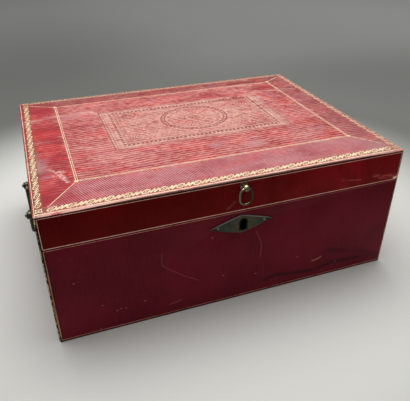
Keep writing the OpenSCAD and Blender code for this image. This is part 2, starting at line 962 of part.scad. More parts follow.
module ring_post() {
    color("darkolivegreen") at_ring_post() difference() {
        union() {
            cylinder(r = ring_rose_r, h = ring_rose_t);
            cylinder(r = ring_stem_r, h = ring_offset);
            translate([0, 0, ring_offset]) sphere(r = ring_ball_r);
            ring_screw_shank();
        }
        translate([-ring_ball_r - past, 0, ring_offset]) rotate([0, 90, 0])
            cylinder(r = ring_hole_r, h = 2 * (ring_ball_r + past));
    }
}

// Half of the ring: a half turn of bar and half of each straight side
module ring_half() {
    translate([0, ring_straight / 2]) bar_arc(ring_bend_r, ring_wire_r, 0, 180);
    for (sx = [-1, 1]) translate([sx * ring_bend_r, 0]) rotate([-90, 0, 0])
        cylinder(r = ring_wire_r, h = ring_straight / 2);
}

module pull_ring() {
    color("olive") translate([ring_x, ring_y, ring_z + ring_rise - ring_half_h]) upright() {
        ring_half();
        mirror([0, 1, 0]) ring_half();
    }
}

// Left and right handles
module left_handle_posts() {
    color("darkolivegreen") at_handle_posts(-1) handle_post();
}

module left_handle_washers() {
    color("peru") handle_washers(-1);
}

module left_handle_nuts() {
    color("gray") handle_nuts(-1);
}

module left_handle_bail() {
    color("olive") handle_bail(-1);
}

module right_handle_posts() {
    color("darkolivegreen") at_handle_posts(1) handle_post();
}

module right_handle_washers() {
    color("peru") handle_washers(1);
}

module right_handle_nuts() {
    color("gray") handle_nuts(1);
}

module right_handle_bail() {
    color("olive") handle_bail(1);
}

base_front_board();
base_back_board();
base_left_board();
base_right_board();
base_bottom_board();
base_nails();
base_leather();
underside_cover();
base_wall_lining();
base_floor_lining();
lid_front_board();
lid_back_board();
lid_left_board();
lid_right_board();
lid_top_board();
lid_nails();
lid_side_leather();
lid_top_leather();
lid_wall_lining();
lid_top_lining();
hinge_left_base_leaf();
hinge_left_lid_leaf();
hinge_left_pin();
hinge_right_base_leaf();
hinge_right_lid_leaf();
hinge_right_pin();
hinge_base_screws();
hinge_lid_screws();
lock_plate();
lock_case();
lock_key_pin();
lock_bolt();
lock_bolt_spring();
lock_screws();
strike_plate();
strike_screws();
escutcheon();
escutcheon_pins();
left_handle_posts();
left_handle_washers();
left_handle_nuts();
left_handle_bail();
right_handle_posts();
right_handle_washers();
right_handle_nuts();
right_handle_bail();
ring_post();
pull_ring();
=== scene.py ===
"""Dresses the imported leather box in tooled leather, old brass and silk, on a plain stage."""

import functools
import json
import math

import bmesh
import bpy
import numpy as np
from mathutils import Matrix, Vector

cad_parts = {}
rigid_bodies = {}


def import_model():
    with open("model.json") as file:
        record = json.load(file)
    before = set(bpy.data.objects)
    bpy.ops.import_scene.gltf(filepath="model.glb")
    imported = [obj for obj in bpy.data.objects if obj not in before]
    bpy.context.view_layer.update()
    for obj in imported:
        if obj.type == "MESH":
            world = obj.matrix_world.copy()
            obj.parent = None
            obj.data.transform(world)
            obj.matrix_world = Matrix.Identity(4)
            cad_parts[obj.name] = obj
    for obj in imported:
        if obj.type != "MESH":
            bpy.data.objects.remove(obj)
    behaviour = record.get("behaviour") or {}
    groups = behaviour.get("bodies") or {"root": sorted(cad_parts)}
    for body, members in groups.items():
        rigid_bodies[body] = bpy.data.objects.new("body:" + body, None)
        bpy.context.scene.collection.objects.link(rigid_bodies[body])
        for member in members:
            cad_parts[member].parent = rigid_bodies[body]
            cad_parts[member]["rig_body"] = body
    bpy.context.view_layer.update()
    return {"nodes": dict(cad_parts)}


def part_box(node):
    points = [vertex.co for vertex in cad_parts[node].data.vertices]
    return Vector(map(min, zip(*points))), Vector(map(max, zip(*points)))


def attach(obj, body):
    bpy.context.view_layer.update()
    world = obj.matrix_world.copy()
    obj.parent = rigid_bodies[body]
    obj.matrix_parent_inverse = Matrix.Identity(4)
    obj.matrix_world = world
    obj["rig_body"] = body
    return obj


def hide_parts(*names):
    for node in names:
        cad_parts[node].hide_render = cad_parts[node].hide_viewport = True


bl_info = {
    "name": "Leather document box",
    "version": (1, 0, 0),
    "blender": (4, 5, 0),
    "location": "3D View > Sidebar > Leather box",
    "description": "Covers the carcass in tooled leather and finishes its fittings",
    "category": "Object",
}

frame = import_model()

MM = 0.001


def in_mm(node):
    """Lowest and highest corner of a CAD node, in millimetres."""
    low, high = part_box(node)
    return np.array(low) / MM, np.array(high) / MM


# The case, in millimetres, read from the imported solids
TOP_LOW, TOP_HIGH = in_mm("lid_top_leather")
HALF_W, HALF_D, TOP_Z = map(float, TOP_HIGH)
LIP_Z = float(TOP_LOW[2])
BASE_RIM_Z = float(in_mm("base_leather")[1][2])
LID_RIM_Z = float(in_mm("lid_side_leather")[0][2])
# Middle of the keyhole's round part, and how deep the painted shade inside the keyhole reaches behind it
KEYHOLE_X, KEYHOLE_Z = 4.3, BASE_RIM_Z - 13.6
# A near-black for soot and dark smears, also used as painted shade in the keyhole and on the ring's right
# side
SOOT_AND_SHADE, KEYHOLE_SHADE_DEPTH = (0.003, 0.002, 0.002), 16.0

SIDES = ("front", "right", "back", "left")
# How far the left roll strays inwards for each millimetre towards the back
LEFT_DRIFT = 0.0095
# Outer ends of the mitre lines, from the front left corner anticlockwise
MITRE_ENDS = ((-188.5, -137.0), (187.5, -126.0), (188.5, 138.5), (-186.0, 143.0))

# Scuffs on the lid's top: start, end, half width and strength
SCUFFS = (
    ((135.7, 85.2), (159.0, 79.0), 0.8, 0.75),
    ((130.7, 28.0), (163.0, 15.0), 1.2, 0.6),
    ((-178.0, -61.5), (-170.0, -72.0), 0.3, 0.75),
    ((-169.5, -72.0), (-166.0, -85.0), 1.8, 0.95),
    ((-166.0, -85.0), (-163.0, -94.0), 0.8, 0.9),
    ((-168.0, -69.0), (-164.0, -71.0), 1.0, 0.8),
    ((-174.0, -78.0), (-168.0, -79.5), 1.0, 0.7),
    ((-111.5, 84.5), (-107.0, 80.0), 1.6, 0.95),
    ((-123.0, 87.5), (-111.0, 86.0), 0.8, 0.8),
    ((20.0, 96.0), (44.0, 108.0), 0.7, 0.45),
)
# Longer marks: the points of each, its half width, its soft edge and its strength
TOP_STREAK = (
    (((-190.0, 79.0), (-170.0, 86.0), (-151.0, 86.5), (-132.0, 88.5), (-112.0, 88.0)), 1.5, 5.0, 0.5),
)
TOP_SMUDGE = (
    (((-189.5, -12.0), (-187.5, -30.0), (-186.5, -50.0), (-186.0, -66.0)), 1.5, 4.5, 0.6),
)
BASE_SMEARS = (
    (((20.5, 11.6), (49.2, 18.6), (69.4, 15.8), (100.5, 11.5), (124.5, 16.4), (175.5, 14.3), (196.0, 11.0)),
     0.3, 4.0, 1.0),
    (((117.0, 38.0), (154.0, 27.0), (191.0, 13.0)), 0.2, 4.5, 0.7),
)
BASE_SCRATCHES = (
    (((-85.6, 85.0), (-86.2, 71.5), (-79.7, 64.4), (-64.1, 51.7), (-46.0, 39.0)), 0.3, 0.6, 1.0),
    (((20.8, 88.0), (27.8, 71.4), (28.5, 62.5), (27.5, 52.0)), 0.3, 0.7, 1.0),
)
BASE_NICKS = (
    (((98.0, 26.6), (105.0, 27.6), (109.5, 29.8)), 0.5, 0.5, 1.0),
    (((-80.0, 14.0), (-66.0, 17.0)), 0.3, 0.8, 0.3),
) + tuple(
    (((across - 0.3, up), (across + 0.3, up)), radius * 0.3, 0.7, 0.6)
    for across, up, radius in (
        (-175.6, 73.2, 0.9), (-106.8, 28.5, 1.4), (-136.9, 24.5, 1.1), (-132.8, 25.9, 0.8),
        (-127.5, 24.9, 0.9), (-151.4, 36.4, 0.8), (-156.3, 4.5, 1.2), (-16.7, 37.1, 1.2),
        (23.4, 28.4, 1.4), (76.3, 38.3, 1.1), (131.6, 16.3, 0.8), (-30.1, 92.0, 1.1)))
BASE_OCHRE = ((((-197.4, 90.0), (-198.0, 40.0), (-197.4, 8.0)), 0.0, 1.1, 1.0),)
LID_SMEARS = (
    (((164.0, 129.6), (180.0, 126.3), (199.0, 124.9)), 0.0, 3.0, 1.0),
    (((172.0, 125.0), (186.0, 124.0), (195.0, 122.5)), 0.0, 1.8, 1.0),
    (((122.0, 131.8), (134.0, 129.3), (146.0, 128.0)), 0.0, 1.8, 0.7),
    (((-6.0, 131.0), (-14.0, 124.0)), 0.1, 2.4, 0.4),
)
LID_GLOW = (
    (((136.0, 150.0), (147.0, 131.0)), 3.0, 9.0, 1.0),
    (((110.0, 142.0), (125.0, 125.0)), 1.0, 7.0, 1.0),
)
LID_RIM_BALD = ((((193.5, 121.6), (199.5, 122.6)), 0.2, 2.2, 1.0),)
LID_TOP_BALD = ((((-199.2, 154.0), (-199.0, 149.0)), 0.0, 1.6, 1.0),)


def seen(red, green, blue):
    """Linear values of a colour given as it is seen, 0 to 255."""
    return tuple(c / 255 / 12.92 if c < 10.4 else ((c / 255 + 0.055) / 1.055) ** 2.4
                 for c in (red, green, blue))


# Colours of single marks on the leather, and of painted highlights on its edges
PALE_FLECKS = seen(246, 210, 192)
SCUFF = seen(228, 176, 170)
SMUDGE = seen(140, 112, 108)
GREYED = seen(150, 128, 120)
# Partly rubbed leather, partly a painted highlight on the top's rounded front edge
FRONT_EDGE_RUB_AND_HIGHLIGHT = seen(238, 192, 178)
LID_BRIGHT = seen(150, 26, 34)
GLOW = seen(168, 18, 26)
LID_SMEAR = seen(220, 110, 104)
BALD_RIM = seen(255, 222, 186)
BALD_TOP = seen(236, 200, 156)
SCRATCH = seen(150, 70, 72)
NICK = seen(196, 126, 100)
OCHRE = seen(206, 142, 78)
SPECK = seen(176, 104, 84)
# Partly worn leather, partly a painted highlight on the front's upright edges
PALE_EDGE_WEAR_AND_HIGHLIGHT = seen(250, 226, 200)


def shade(tint, strength, lift=0.0):
    """A colour made darker or lighter."""
    return tuple(min(1.0, c * strength + lift) for c in tint)


def colour(name, what, red, green, blue):
    return bpy.props.FloatVectorProperty(name=name, description=what, subtype="COLOR", size=3,
                                         min=0, max=1, default=seen(red, green, blue))


def length(name, what, millimetres):
    return bpy.props.FloatProperty(name=name, description=what, subtype="DISTANCE", unit="LENGTH",
                                   default=millimetres * MM, precision=5)


def share(name, what, value):
    return bpy.props.FloatProperty(name=name, description=what, subtype="FACTOR",
                                   min=0, max=1, default=value)


class LeatherColours(bpy.types.PropertyGroup):
    """Dyes of the leather and of the wear on it."""

    top_deep: colour("Top valleys", "Red in the valleys of the top's grain", 168, 50, 58)
    # The top's pale bloom is partly rubbed leather and partly painted sheen, greyer on the front strip
    top_bloom_and_sheen: colour("Top haze", "Pale bloom of the rubbed top", 226, 168, 157)
    top_cool_bloom_and_sheen: colour("Top cool haze", "Greyer bloom along the front strip", 200, 148, 150)
    top_warm: colour("Top warm red", "Brighter red where the top kept its dye", 206, 58, 56)
    top_tan: colour("Top tan", "Tan of the rubbed stamped panel", 226, 182, 164)
    gilt_ground: colour("Gilt ground", "Pinkish leather where the gilt is rubbed off", 188, 120, 110)
    roll_ground: colour("Roll ground", "Tan leather under the border roll", 138, 90, 58)
    lid_red: colour("Lid side red", "Red of the lid's sides", 113, 8, 9)
    base_red: colour("Base red", "Burgundy of the base's sides", 106, 15, 32)
    worn_tan: colour("Bare leather", "Undyed leather where edges are worn through", 172, 128, 84)
    # Painted shade under the lid's overhanging edge and in the gap along the base's bottom; it also darkens
    # bands beside the upright corners
    shade_and_band_dark: colour("Dark lip", "Grime under the lid's overhanging edge", 44, 18, 10)
    # Dirt, also used as painted shade in the deepest pressed grooves
    grime_and_shade: colour("Grime", "Dirt in creases and along edges", 38, 22, 18)
    pressed: colour("Pressed lines", "Darkened leather in the blind tooling", 122, 50, 50)
    grain_pitch: length("Grain pitch", "Distance between the ridges of the straight grain", 2.5)
    edge_wear: share("Edge wear", "How much of the edges is worn through", 0.5)


class Tooling(bpy.types.PropertyGroup):
    """Gilt and blind tooling on the lid's top and along the sides."""

    # Its cream colour also carries the gold's bright reflection as painted sheen, for the gilt is only
    # slightly metallic
    gilt: colour("Gilt", "Gold leaf of the tooling", 255, 236, 198)
    gilt_dull: colour("Dull gilt", "Rubbed gold leaf on the sides", 220, 144, 126)
    gilt_seam: colour("Seam gilt", "Brighter line along the lid's lower rim", 255, 204, 182)
    roll_front: length("Front roll", "Middle of the border roll from the front edge", 10.2)
    roll_left: length("Left roll", "Middle of the border roll from the left edge", 7.5)
    roll_right: length("Right roll", "Middle of the border roll from the right edge", 5.2)
    roll_back: length("Back roll", "Middle of the border roll from the back edge", 5.0)
    roll_half: length("Roll half width", "Half the width of the border roll", 3.3)
    roll_repeat: length("Roll repeat", "Length of one repeat of the border roll", 17.75)
    frame_left: length("Frame left", "Left side of the gilt rectangle", -155)
    frame_right: length("Frame right", "Right side of the gilt rectangle", 163)
    frame_front: length("Frame front", "Front side of the gilt rectangle", -96)
    frame_back: length("Frame back", "Back side of the gilt rectangle", 121)
    panel_left: length("Panel left", "Left side of the stamped panel", -104.5)
    panel_right: length("Panel right", "Right side of the stamped panel", 119)
    panel_front: length("Panel front", "Front side of the stamped panel", -40)
    panel_back: length("Panel back", "Back side of the stamped panel", 80)
    press_depth: length("Press depth", "Depth of the blind tooling", 0.38)
    side_inset: length("Side line inset", "Upright lines' distance from the corners", 2.9)
    rope_pitch: length("Rope pitch", "Length of one strand of the rope lines", 2.1)


class FittingColours(bpy.types.PropertyGroup):
    """Metals of the fittings."""

    patina: colour("Patina", "Dark brown-green skin of the outer brass", 60, 58, 44)
    # Also the colour of the painted highlight on the brass
    rubbed_brass_and_highlight: colour("Rubbed brass", "Brass where hands have rubbed it", 226, 214, 170)
    plate: colour("Escutcheon", "Slate skin of the escutcheon", 46, 52, 48)
    plate_brown: colour("Escutcheon's middle", "Browner brass round the keyhole", 78, 70, 48)
    # Colour of the painted highlight on the escutcheon's upper edges
    plate_rim_highlight: colour("Escutcheon's rim", "Paler upper edges of the escutcheon", 150, 142, 134)
    verdigris: colour("Verdigris", "Green bloom in the hollows", 70, 88, 74)
    brass: colour("Inner brass", "Brass of the lock and the hinges", 172, 138, 82)
    brass_dull: colour("Dull brass", "Tarnish on the inner brass", 118, 88, 48)
    iron: colour("Iron", "Nails, bolt and pins", 92, 88, 84)
    rust: colour("Rust", "Brown rust on the iron", 84, 52, 34)


class ClothColours(bpy.types.PropertyGroup):
    """Lining, underside cloth and wood."""

    silk: colour("Silk", "Faded lining of the inside", 128, 142, 112)
    silk_faded: colour("Faded silk", "Silk where light has bleached it", 164, 166, 134)
    baize: colour("Underside cover", "Rubbed cloth under the box", 52, 66, 50)
    wood: colour("Wood", "Carcass boards", 168, 122, 76)
    wood_dark: colour("Wood rings", "Darker rings of the boards", 120, 80, 46)


class StageSettings(bpy.types.PropertyGroup):
    """Floor, lamps and camera."""

    floor: colour("Floor", "Floor near the box", 222, 222, 217)
    # The fold's darker grey is painted shade of a backdrop wall
    floor_fold_shade: colour("Floor's fold", "Darker floor where the pale part ends", 112, 113, 109)
    far_floor: colour("Far floor", "Floor far behind the box", 196, 197, 193)
    backdrop: colour("Backdrop", "What shows past the floor and in the metal", 140, 141, 137)
    lamp_power: bpy.props.FloatProperty(name="Lamps", description="Power of each soft lamp",
                                        unit="POWER", default=7.8)
    fill: share("Fill", "Strength of the light from all round", 0.33)
    lens: bpy.props.FloatProperty(name="Lens", description="Focal length on a 36 mm sensor",
                                  default=42.77)
    azimuth: bpy.props.FloatProperty(name="Azimuth", description="Camera's turn round the box",
                                     subtype="ANGLE", default=math.radians(-20.21))
    elevation: bpy.props.FloatProperty(name="Elevation", description="Camera's height angle",
                                       subtype="ANGLE", default=math.radians(31.57))


def operation(name, swapped=False):
    """A method that joins a value with others, or alone, in one Math node."""
    def joined(self, *others):
        return self.maths(name, *((*others, self) if swapped else (self, *others)))
    return joined


class Value:
    """An output of a node, with arithmetic that adds Math nodes."""

    def __init__(self, nodes, socket):
        self.nodes = nodes
        self.socket = socket

    def maths(self, name, *terms, clamp=False):
        return self.nodes.node("ShaderNodeMath", {"operation": name, "use_clamp": clamp},
                               dict(enumerate(terms)))

    __add__ = __radd__ = operation("ADD")
    __sub__, __rsub__ = operation("SUBTRACT"), operation("SUBTRACT", swapped=True)
    __mul__ = __rmul__ = operation("MULTIPLY")
    __truediv__, __pow__ = operation("DIVIDE"), operation("POWER")
    __abs__, sine = operation("ABSOLUTE"), operation("SINE")
    least, most = operation("MINIMUM"), operation("MAXIMUM")

    def __neg__(self):
        return self * -1.0

    def held(self):
        """The value kept between 0 and 1."""
        return self.maths("ADD", self, 0.0, clamp=True)

    def rise(self, low, high):
        """0 below low and 1 above high, with a smooth step between them."""
        return self.nodes.node("ShaderNodeMapRange", {"interpolation_type": "SMOOTHSTEP"},
                               {"Value": self, "From Min": low, "From Max": high})

    def fall(self, low, high):
        """1 below low and 0 above high."""
        return 1.0 - self.rise(low, high)


class Nodes:
    """A tree of nodes, fed with numbers, colours and other nodes' outputs."""

    def __init__(self, tree):
        self.tree = tree

    def feed(self, socket, value):
        if isinstance(value, Value):
            self.tree.links.new(value.socket, socket)
        elif socket.type == "RGBA" and len(value) == 3:
            socket.default_value = (*value, 1.0)
        else:
            socket.default_value = value

    def node(self, kind, options=None, sockets=None, out=0):
        """Adds a node, gives it its options and then its sockets, and returns one output."""
        made = self.tree.nodes.new(kind)
        for name, value in (options or {}).items():
            setattr(made, name, value)
        for key, value in (sockets or {}).items():
            self.feed(made.inputs[key], value)
        return Value(self, made.outputs[out]) if made.outputs else None

    def several(self, first, names):
        """More outputs of the node that gave the first one."""
        return [Value(self, first.socket.node.outputs[name]) for name in names]

    def parts(self, vector):
        return self.several(self.node("ShaderNodeSeparateXYZ", sockets={0: vector}), "XYZ")


class Finish(Nodes):
    """A procedural material in millimetres of the box's own frame."""

    def __init__(self, name, **fixed):
        self.material = bpy.data.materials.new(name)
        self.material.use_nodes = True
        super().__init__(self.material.node_tree)
        self.shader = next(n for n in self.tree.nodes if n.type == "BSDF_PRINCIPLED")
        for socket, value in fixed.items():
            self.feed(self.shader.inputs[socket.replace("_", " ")], value)
        place = self.node("ShaderNodeTexCoord", out="Object")
        self.at = self.node("ShaderNodeVectorMath", {"operation": "SCALE"}, {0: place, "Scale": 1 / MM})
        self.x, self.y, self.z = self.parts(self.at)

    def point(self, x, y, z=0.0):
        return self.node("ShaderNodeCombineXYZ", sockets={0: x, 1: y, 2: z})

    def noise(self, where, detail=2.0, rough=0.5, warp=0.0):
        """Noise between 0 and 1; where is a size in millimetres, three sizes or a vector."""
        if isinstance(where, float):
            where = (where, where, where)
        if isinstance(where, tuple):
            where = self.node("ShaderNodeVectorMath", {"operation": "DIVIDE"}, {0: self.at, 1: where})
        return self.node("ShaderNodeTexNoise", {"noise_dimensions": "3D"},
                         {"Vector": where, "Scale": 1.0, "Detail": detail, "Roughness": rough,
                          "Distortion": warp})

    def mixed(self, first, second, factor):
        """A colour between two colours."""
        return self.node("ShaderNodeMix", {"data_type": "RGBA"},
                         {0: factor, 6: first, 7: second}, out=2)

    def coats(self, base, *coats):
        """Lays coats over a base in their order, each a colour and how much of it shows."""
        for tint, amount in coats:
            base = self.mixed(base, tint, amount)
        return base

    def facing(self):
        """How much the face points along X, Y and Z, from the object's own normal."""
        return self.parts(self.node("ShaderNodeTexCoord", out="Normal"))

    def mark(self, name):
        """A value kept on the mesh's points."""
        return self.node("ShaderNodeAttribute", {"attribute_name": name}, out="Fac")

    def stroke(self, up, start, end, half, soft):
        """1 along a straight stroke across X and up another direction, fading over its soft edge."""
        du, dv = end[0] - start[0], end[1] - start[1]
        run = math.hypot(du, dv)
        du, dv = du / run, dv / run
        along = (self.x - start[0]) * du + (up - start[1]) * dv
        past = abs(along - run / 2) - run / 2
        aside = abs((self.x - start[0]) * dv - (up - start[1]) * du)
        return aside.most(past).fall(half, half + soft)

    def marks(self, up, lines):
        """The strongest of several bent lines, as in the tables above."""
        strokes = [self.stroke(up, start, end, half, soft) * strength
                   for points, half, soft, strength in lines
                   for start, end in zip(points, points[1:])]
        return functools.reduce(Value.most, strokes)

    def keyhole_shade(self, base):
        """Painted shade that blackens what lies round and behind the keyhole, inside the hole."""
        low, high = in_mm("lock_key_pin")
        across = self.x - (low[0] + high[0]) / 2
        up = self.z - (low[2] + high[2]) / 2 + 3.0
        near = (across * across + up * up * 0.5).fall(40.0, 60.0)
        return self.mixed(base, SOOT_AND_SHADE, near * (self.y + HALF_D).fall(KEYHOLE_SHADE_DEPTH, KEYHOLE_SHADE_DEPTH + 4.0))

    def bump(self, height, depth, strength):
        """A normal from a height between 0 and 1 and its depth in millimetres."""
        return self.node("ShaderNodeBump", {}, {"Height": height, "Distance": depth * MM,
                                                "Strength": strength})

    def wear(self, base, roughness, normal=None, metallic=None):
        """Connects what changes over the surface."""
        for socket, value in (("Base Color", base), ("Roughness", roughness),
                              ("Normal", normal), ("Metallic", metallic)):
            if value is not None:
                self.feed(self.shader.inputs[socket], value)
        return self.material


def settings(name):
    return getattr(bpy.context.scene, "leather_box_" + name)


def edges_of(name):
    """Left, right, front and back side of a rectangle on the top, in millimetres."""
    tool = settings("tooling")
    return [getattr(tool, name + "_" + side) / MM for side in ("left", "right", "front", "back")]


def roll_middles():
    """How far the middle of the border roll lies from each edge, in millimetres."""
    return {side: getattr(settings("tooling"), "roll_" + side) / MM for side in SIDES}


def within(f, name, inset=(0.0, 0.0), soft=3.0):
    """1 inside a rectangle on the top and 0 outside it, fading over its edges."""
    left, right, front, back = edges_of(name)
    across = abs(f.x - (left + right) / 2) - (right - left) / 2 + inset[0]
    deep = abs(f.y - (front + back) / 2) - (back - front) / 2 + inset[1]
    return across.fall(-soft, soft) * deep.fall(-soft, soft)


# Leather
def tooled_ground(f, base, flecks, pressed):
    """Darkens the top under the border roll and along the pressed lines, partly as the tool darkens leather
    and partly as painted shade in the grooves.
    """
    dye, tool, middles = settings("leather"), settings("tooling"), roll_middles()
    for side, inset, strength in (("front", f.y + HALF_D, 0.62),
                                  ("left", f.x + HALF_W - f.y * LEFT_DRIFT, 0.62),
                                  ("right", HALF_W - f.x, 0.3), ("back", HALF_D - f.y, 0.2)):
        ground = (abs(inset - middles[side]) - tool.roll_half / MM).fall(0.2, 1.0) * strength
        base = f.coats(base, (dye.roll_ground, ground),
                       (dye.grime_and_shade, ground * flecks.rise(0.05, 0.2) * 0.45))
    # Pressed lines: the tool's darkening, with painted shade in the deepest grooves
    return f.coats(base, (dye.pressed, pressed.least(0.6) * 1.3), (dye.grime_and_shade, (pressed - 0.7).held() * 2.9))


def worn_edges(f, base):
    """Rubbed, dirty and bare places along the top's edges, with a painted highlight on the rounded front
    edge and painted shade on the rolled lip, which rises in the front's middle.
    """
    dye, x, y = settings("leather"), f.x, f.y
    from_left, from_front = x + HALF_W, y + HALF_D
    inset = (HALF_W - abs(x)).least(HALF_D - abs(y))
    corner = (HALF_W - abs(x)) + (HALF_D - abs(y))
    ragged = f.noise(9.0, detail=3.0)
    # Paler front edge of the top: rubbed leather with a painted highlight on its rounding, weaker to the
    # right
    front_edge_rub_and_highlight = from_front.fall(1.6, 3.8) * ragged.rise(0.28, 0.52)
    rub = inset.fall(0.6, 1.6) * ragged.rise(0.5, 0.7) * from_left.fall(4.0, 8.0)
    maroon = from_left.fall(0.5, 1.1).most((abs(from_left - 3.1) - 0.7).fall(0.0, 0.5) * 0.6)
    # Painted shade on the rolled edge under the top, rising higher in the front's middle
    rolled_edge_shade = (f.z + ragged * 1.6).fall(TOP_Z - 0.8, TOP_Z - 0.3) * corner.rise(5.0, 12.0)
    crown = abs(x - 10.0).fall(90.0, 190.0)
    front_lip_shade = (from_front + ragged * 0.8 - crown * 1.9).fall(0.2, 0.6) * crown.rise(0.0, 0.2)
    bare = corner.fall(3.0, 10.0) * f.noise(4.0, detail=3.0).rise(0.40, 0.56)
    specks = f.noise(2.6, detail=1.0).rise(0.70, 0.74) * f.noise(40.0).rise(0.45, 0.6)
    return f.coats(base, (FRONT_EDGE_RUB_AND_HIGHLIGHT, front_edge_rub_and_highlight * (0.75 - x.rise(-20.0, 110.0) * 0.5)),
                   (dye.top_bloom_and_sheen, rub * 0.7), (dye.pressed, maroon * ragged.rise(0.3, 0.5) * 0.8),
                   (dye.shade_and_band_dark, rolled_edge_shade * 0.95), (dye.shade_and_band_dark, front_lip_shade * 0.9),
                   (dye.worn_tan, bare), (dye.grime_and_shade, specks * 0.5))


def scuffed(f, base, in_frame, mottle, cool):
    """Adds the scuffs, the streak, the smudge and the bloomed or greyed places of the top."""
    dye, x, y = settings("leather"), f.x, f.y
    broken = f.noise(2.6, detail=4.0, rough=0.75).rise(0.42, 0.57)
    for start, end, half, strength in SCUFFS:
        base = f.mixed(base, SCUFF, f.stroke(y, start, end, half, 2.6) * broken * strength)
    behind = y - 96.0 - x * 0.1
    bloomed = (x.fall(-182.0, -170.0) * y.fall(-50.0, -20.0) * y.rise(-110.0, -70.0)) \
        .most(behind.fall(-2.0, 16.0) * behind.rise(-16.0, 2.0) * x.fall(-140.0, -100.0) * 0.9)
    greyed = x.rise(158.0, 168.0).most(y.rise(119.0, 128.0) * 0.6).most(x.rise(90.0, 130.0) * 0.3)
    lilac = in_frame * y.fall(-66.0, -46.0) * x.rise(-40.0, 30.0) * cool
    return f.coats(base, (dye.top_bloom_and_sheen, f.marks(y, TOP_STREAK) * mottle.rise(0.3, 0.6)),
                   (SMUDGE, f.marks(y, TOP_SMUDGE) * f.noise(7.0, detail=3.0).rise(0.35, 0.6)),
                   (dye.top_cool_bloom_and_sheen, bloomed * mottle.rise(0.38, 0.62) * 0.5),
                   (GREYED, greyed * 0.18), (dye.top_cool_bloom_and_sheen, lilac * 0.55))


def top_leather():
    """Rubbed red morocco of the lid's top: straight grain, rubbed bloom with painted sheen, pressed tooling
    and scuffs.
    """
    dye = settings("leather")
    f = Finish("top_leather", Specular_IOR_Level=0.2, IOR=1.45)
    x, y = f.x, f.y

    # Zones of the top; the front strip ends at the mitre lines
    in_panel, in_frame = within(f, "panel"), within(f, "frame", soft=4.0)
    in_band = in_panel * (1.0 - within(f, "panel", (19.0, 13.0), 2.0))
    left_border = x.fall(-164.0, -152.0)
    far_corner = x.rise(40.0, 130.0) * y.rise(0.0, 80.0)
    rear = (HALF_W - x).fall(12.0, 40.0).most((HALF_D - y).fall(10.0, 30.0))
    frame_left, frame_right, frame_front, _ = edges_of("frame")
    left_mitre, right_mitre = [
        corner + (y - frame_front) * ((corner - u) / (frame_front - v))
        for corner, (u, v) in zip((frame_left, frame_right), MITRE_ENDS)]
    front_strip = (y + f.noise(30.0) * 14.0).fall(-94.0, -84.0) \
        * (x - left_mitre).rise(-1.5, 1.5) * (1.0 - (x - right_mitre).rise(-1.5, 1.5) * 0.6)

    # Straight grain, slanted on the front strip
    turn = 2 * math.pi * MM / dye.grain_pitch
    along = y + f.noise(64.0, detail=1.0) * 9.0
    aslant, across = x * 0.92 + y * 0.38, x * 0.38 - y * 0.92
    wander = f.noise(8.0) * 7.0
    straight = (along * turn + wander).sine() * 0.10 \
        + (along * turn * 0.5 + wander * 0.5).sine() * 0.13 \
        + f.noise(f.point(x / 9.0, along / 3.0), detail=3.0, rough=0.7)
    slanted = (aslant * turn * 1.05 + wander * 0.5).sine() * 0.30 \
        + f.noise(f.point(across / 11.0, aslant / 2.4), detail=3.0, rough=0.7)
    flecks = f.noise(f.point(x / 3.4, along / 2.2), detail=4.0, rough=0.8) - 0.5
    ridges = (straight * (1.0 - front_strip) + slanted * front_strip + flecks * 0.5).rise(0.28, 0.72)
    pores = f.noise(0.55)
    pressed = f.mark("pressed")

    # Rubbed bloom with painted sheen on the ridges, paler and greyer on the front strip, over the red that
    # is left in the valleys
    patches = f.noise(58.0, detail=4.0, rough=0.6)
    streaks = f.noise((85.0, 13.0, 85.0), detail=4.0, rough=0.65)
    mottle = f.noise((26.0, 15.0, 26.0), detail=4.0, rough=0.65)
    red_patch = in_panel * x.rise(52.0, 80.0) * x.fall(90.0, 102.0) * mottle.fall(0.42, 0.56)
    red_spots = f.noise(34.0).rise(0.6, 0.72) * (1.0 - in_panel * 0.6)
    bloom_and_sheen_share = 0.13 + in_frame * 0.2 + in_panel * 0.38 + front_strip * 0.36 \
        - x.rise(120.0, 150.0) * in_frame * 0.16 - left_border * 0.22 - y.rise(80.0, 90.0) * 0.12 \
        + (patches - 0.5) * 0.9 + (streaks - 0.5) * 0.9 \
        + (mottle - 0.5) * (0.6 + far_corner * 3.0) - red_patch * 0.2
    bloom_and_sheen_share = bloom_and_sheen_share * (1.0 - red_spots * 0.5) + (ridges - 0.5) * (0.95 - left_border * 0.35)
    cool = f.noise((30.0, 16.0, 30.0), detail=3.0, rough=0.6).rise(0.5, 0.66)
    warm = f.noise((40.0, 22.0, 40.0), detail=3.0, rough=0.6).rise(0.46, 0.64)
    chill = (cool * (0.85 - in_panel * 0.5)).most(x.rise(160.0, 168.0) * 0.7)
    bloom_and_sheen_tint = f.coats(dye.top_bloom_and_sheen, (dye.top_cool_bloom_and_sheen, front_strip.most(chill)),
                    (dye.top_tan, in_panel * flecks.rise(-0.1, 0.12) * 0.8))
    deep = f.mixed(dye.top_deep, dye.top_warm, warm * 0.7)
    pale_flecks = 0.15 + flecks.rise(0.02, 0.14) * (0.75 + x.rise(84.0, 104.0) * 0.5)
    base = f.coats(deep, (bloom_and_sheen_tint, bloom_and_sheen_share.held()),
                   (shade(dye.top_deep, 0.5), (-bloom_and_sheen_share).rise(-0.05, 0.4) * (0.7 - left_border * 0.35)),
                   (PALE_FLECKS, in_band * mottle.rise(0.36, 0.62) * pale_flecks),
                   (dye.grime_and_shade, rear * 0.12 + y.rise(121.0, 128.0) * 0.14))

    base = scuffed(f, base, in_frame, mottle, cool)
    base = worn_edges(f, tooled_ground(f, base, flecks, pressed))
    height = ridges * 0.75 + pores * 0.25 - pressed * 0.5
    rough = 0.52 + pores * 0.10 - ridges * 0.06
    return f.wear(base, rough, f.bump(height, 0.2, 0.8))


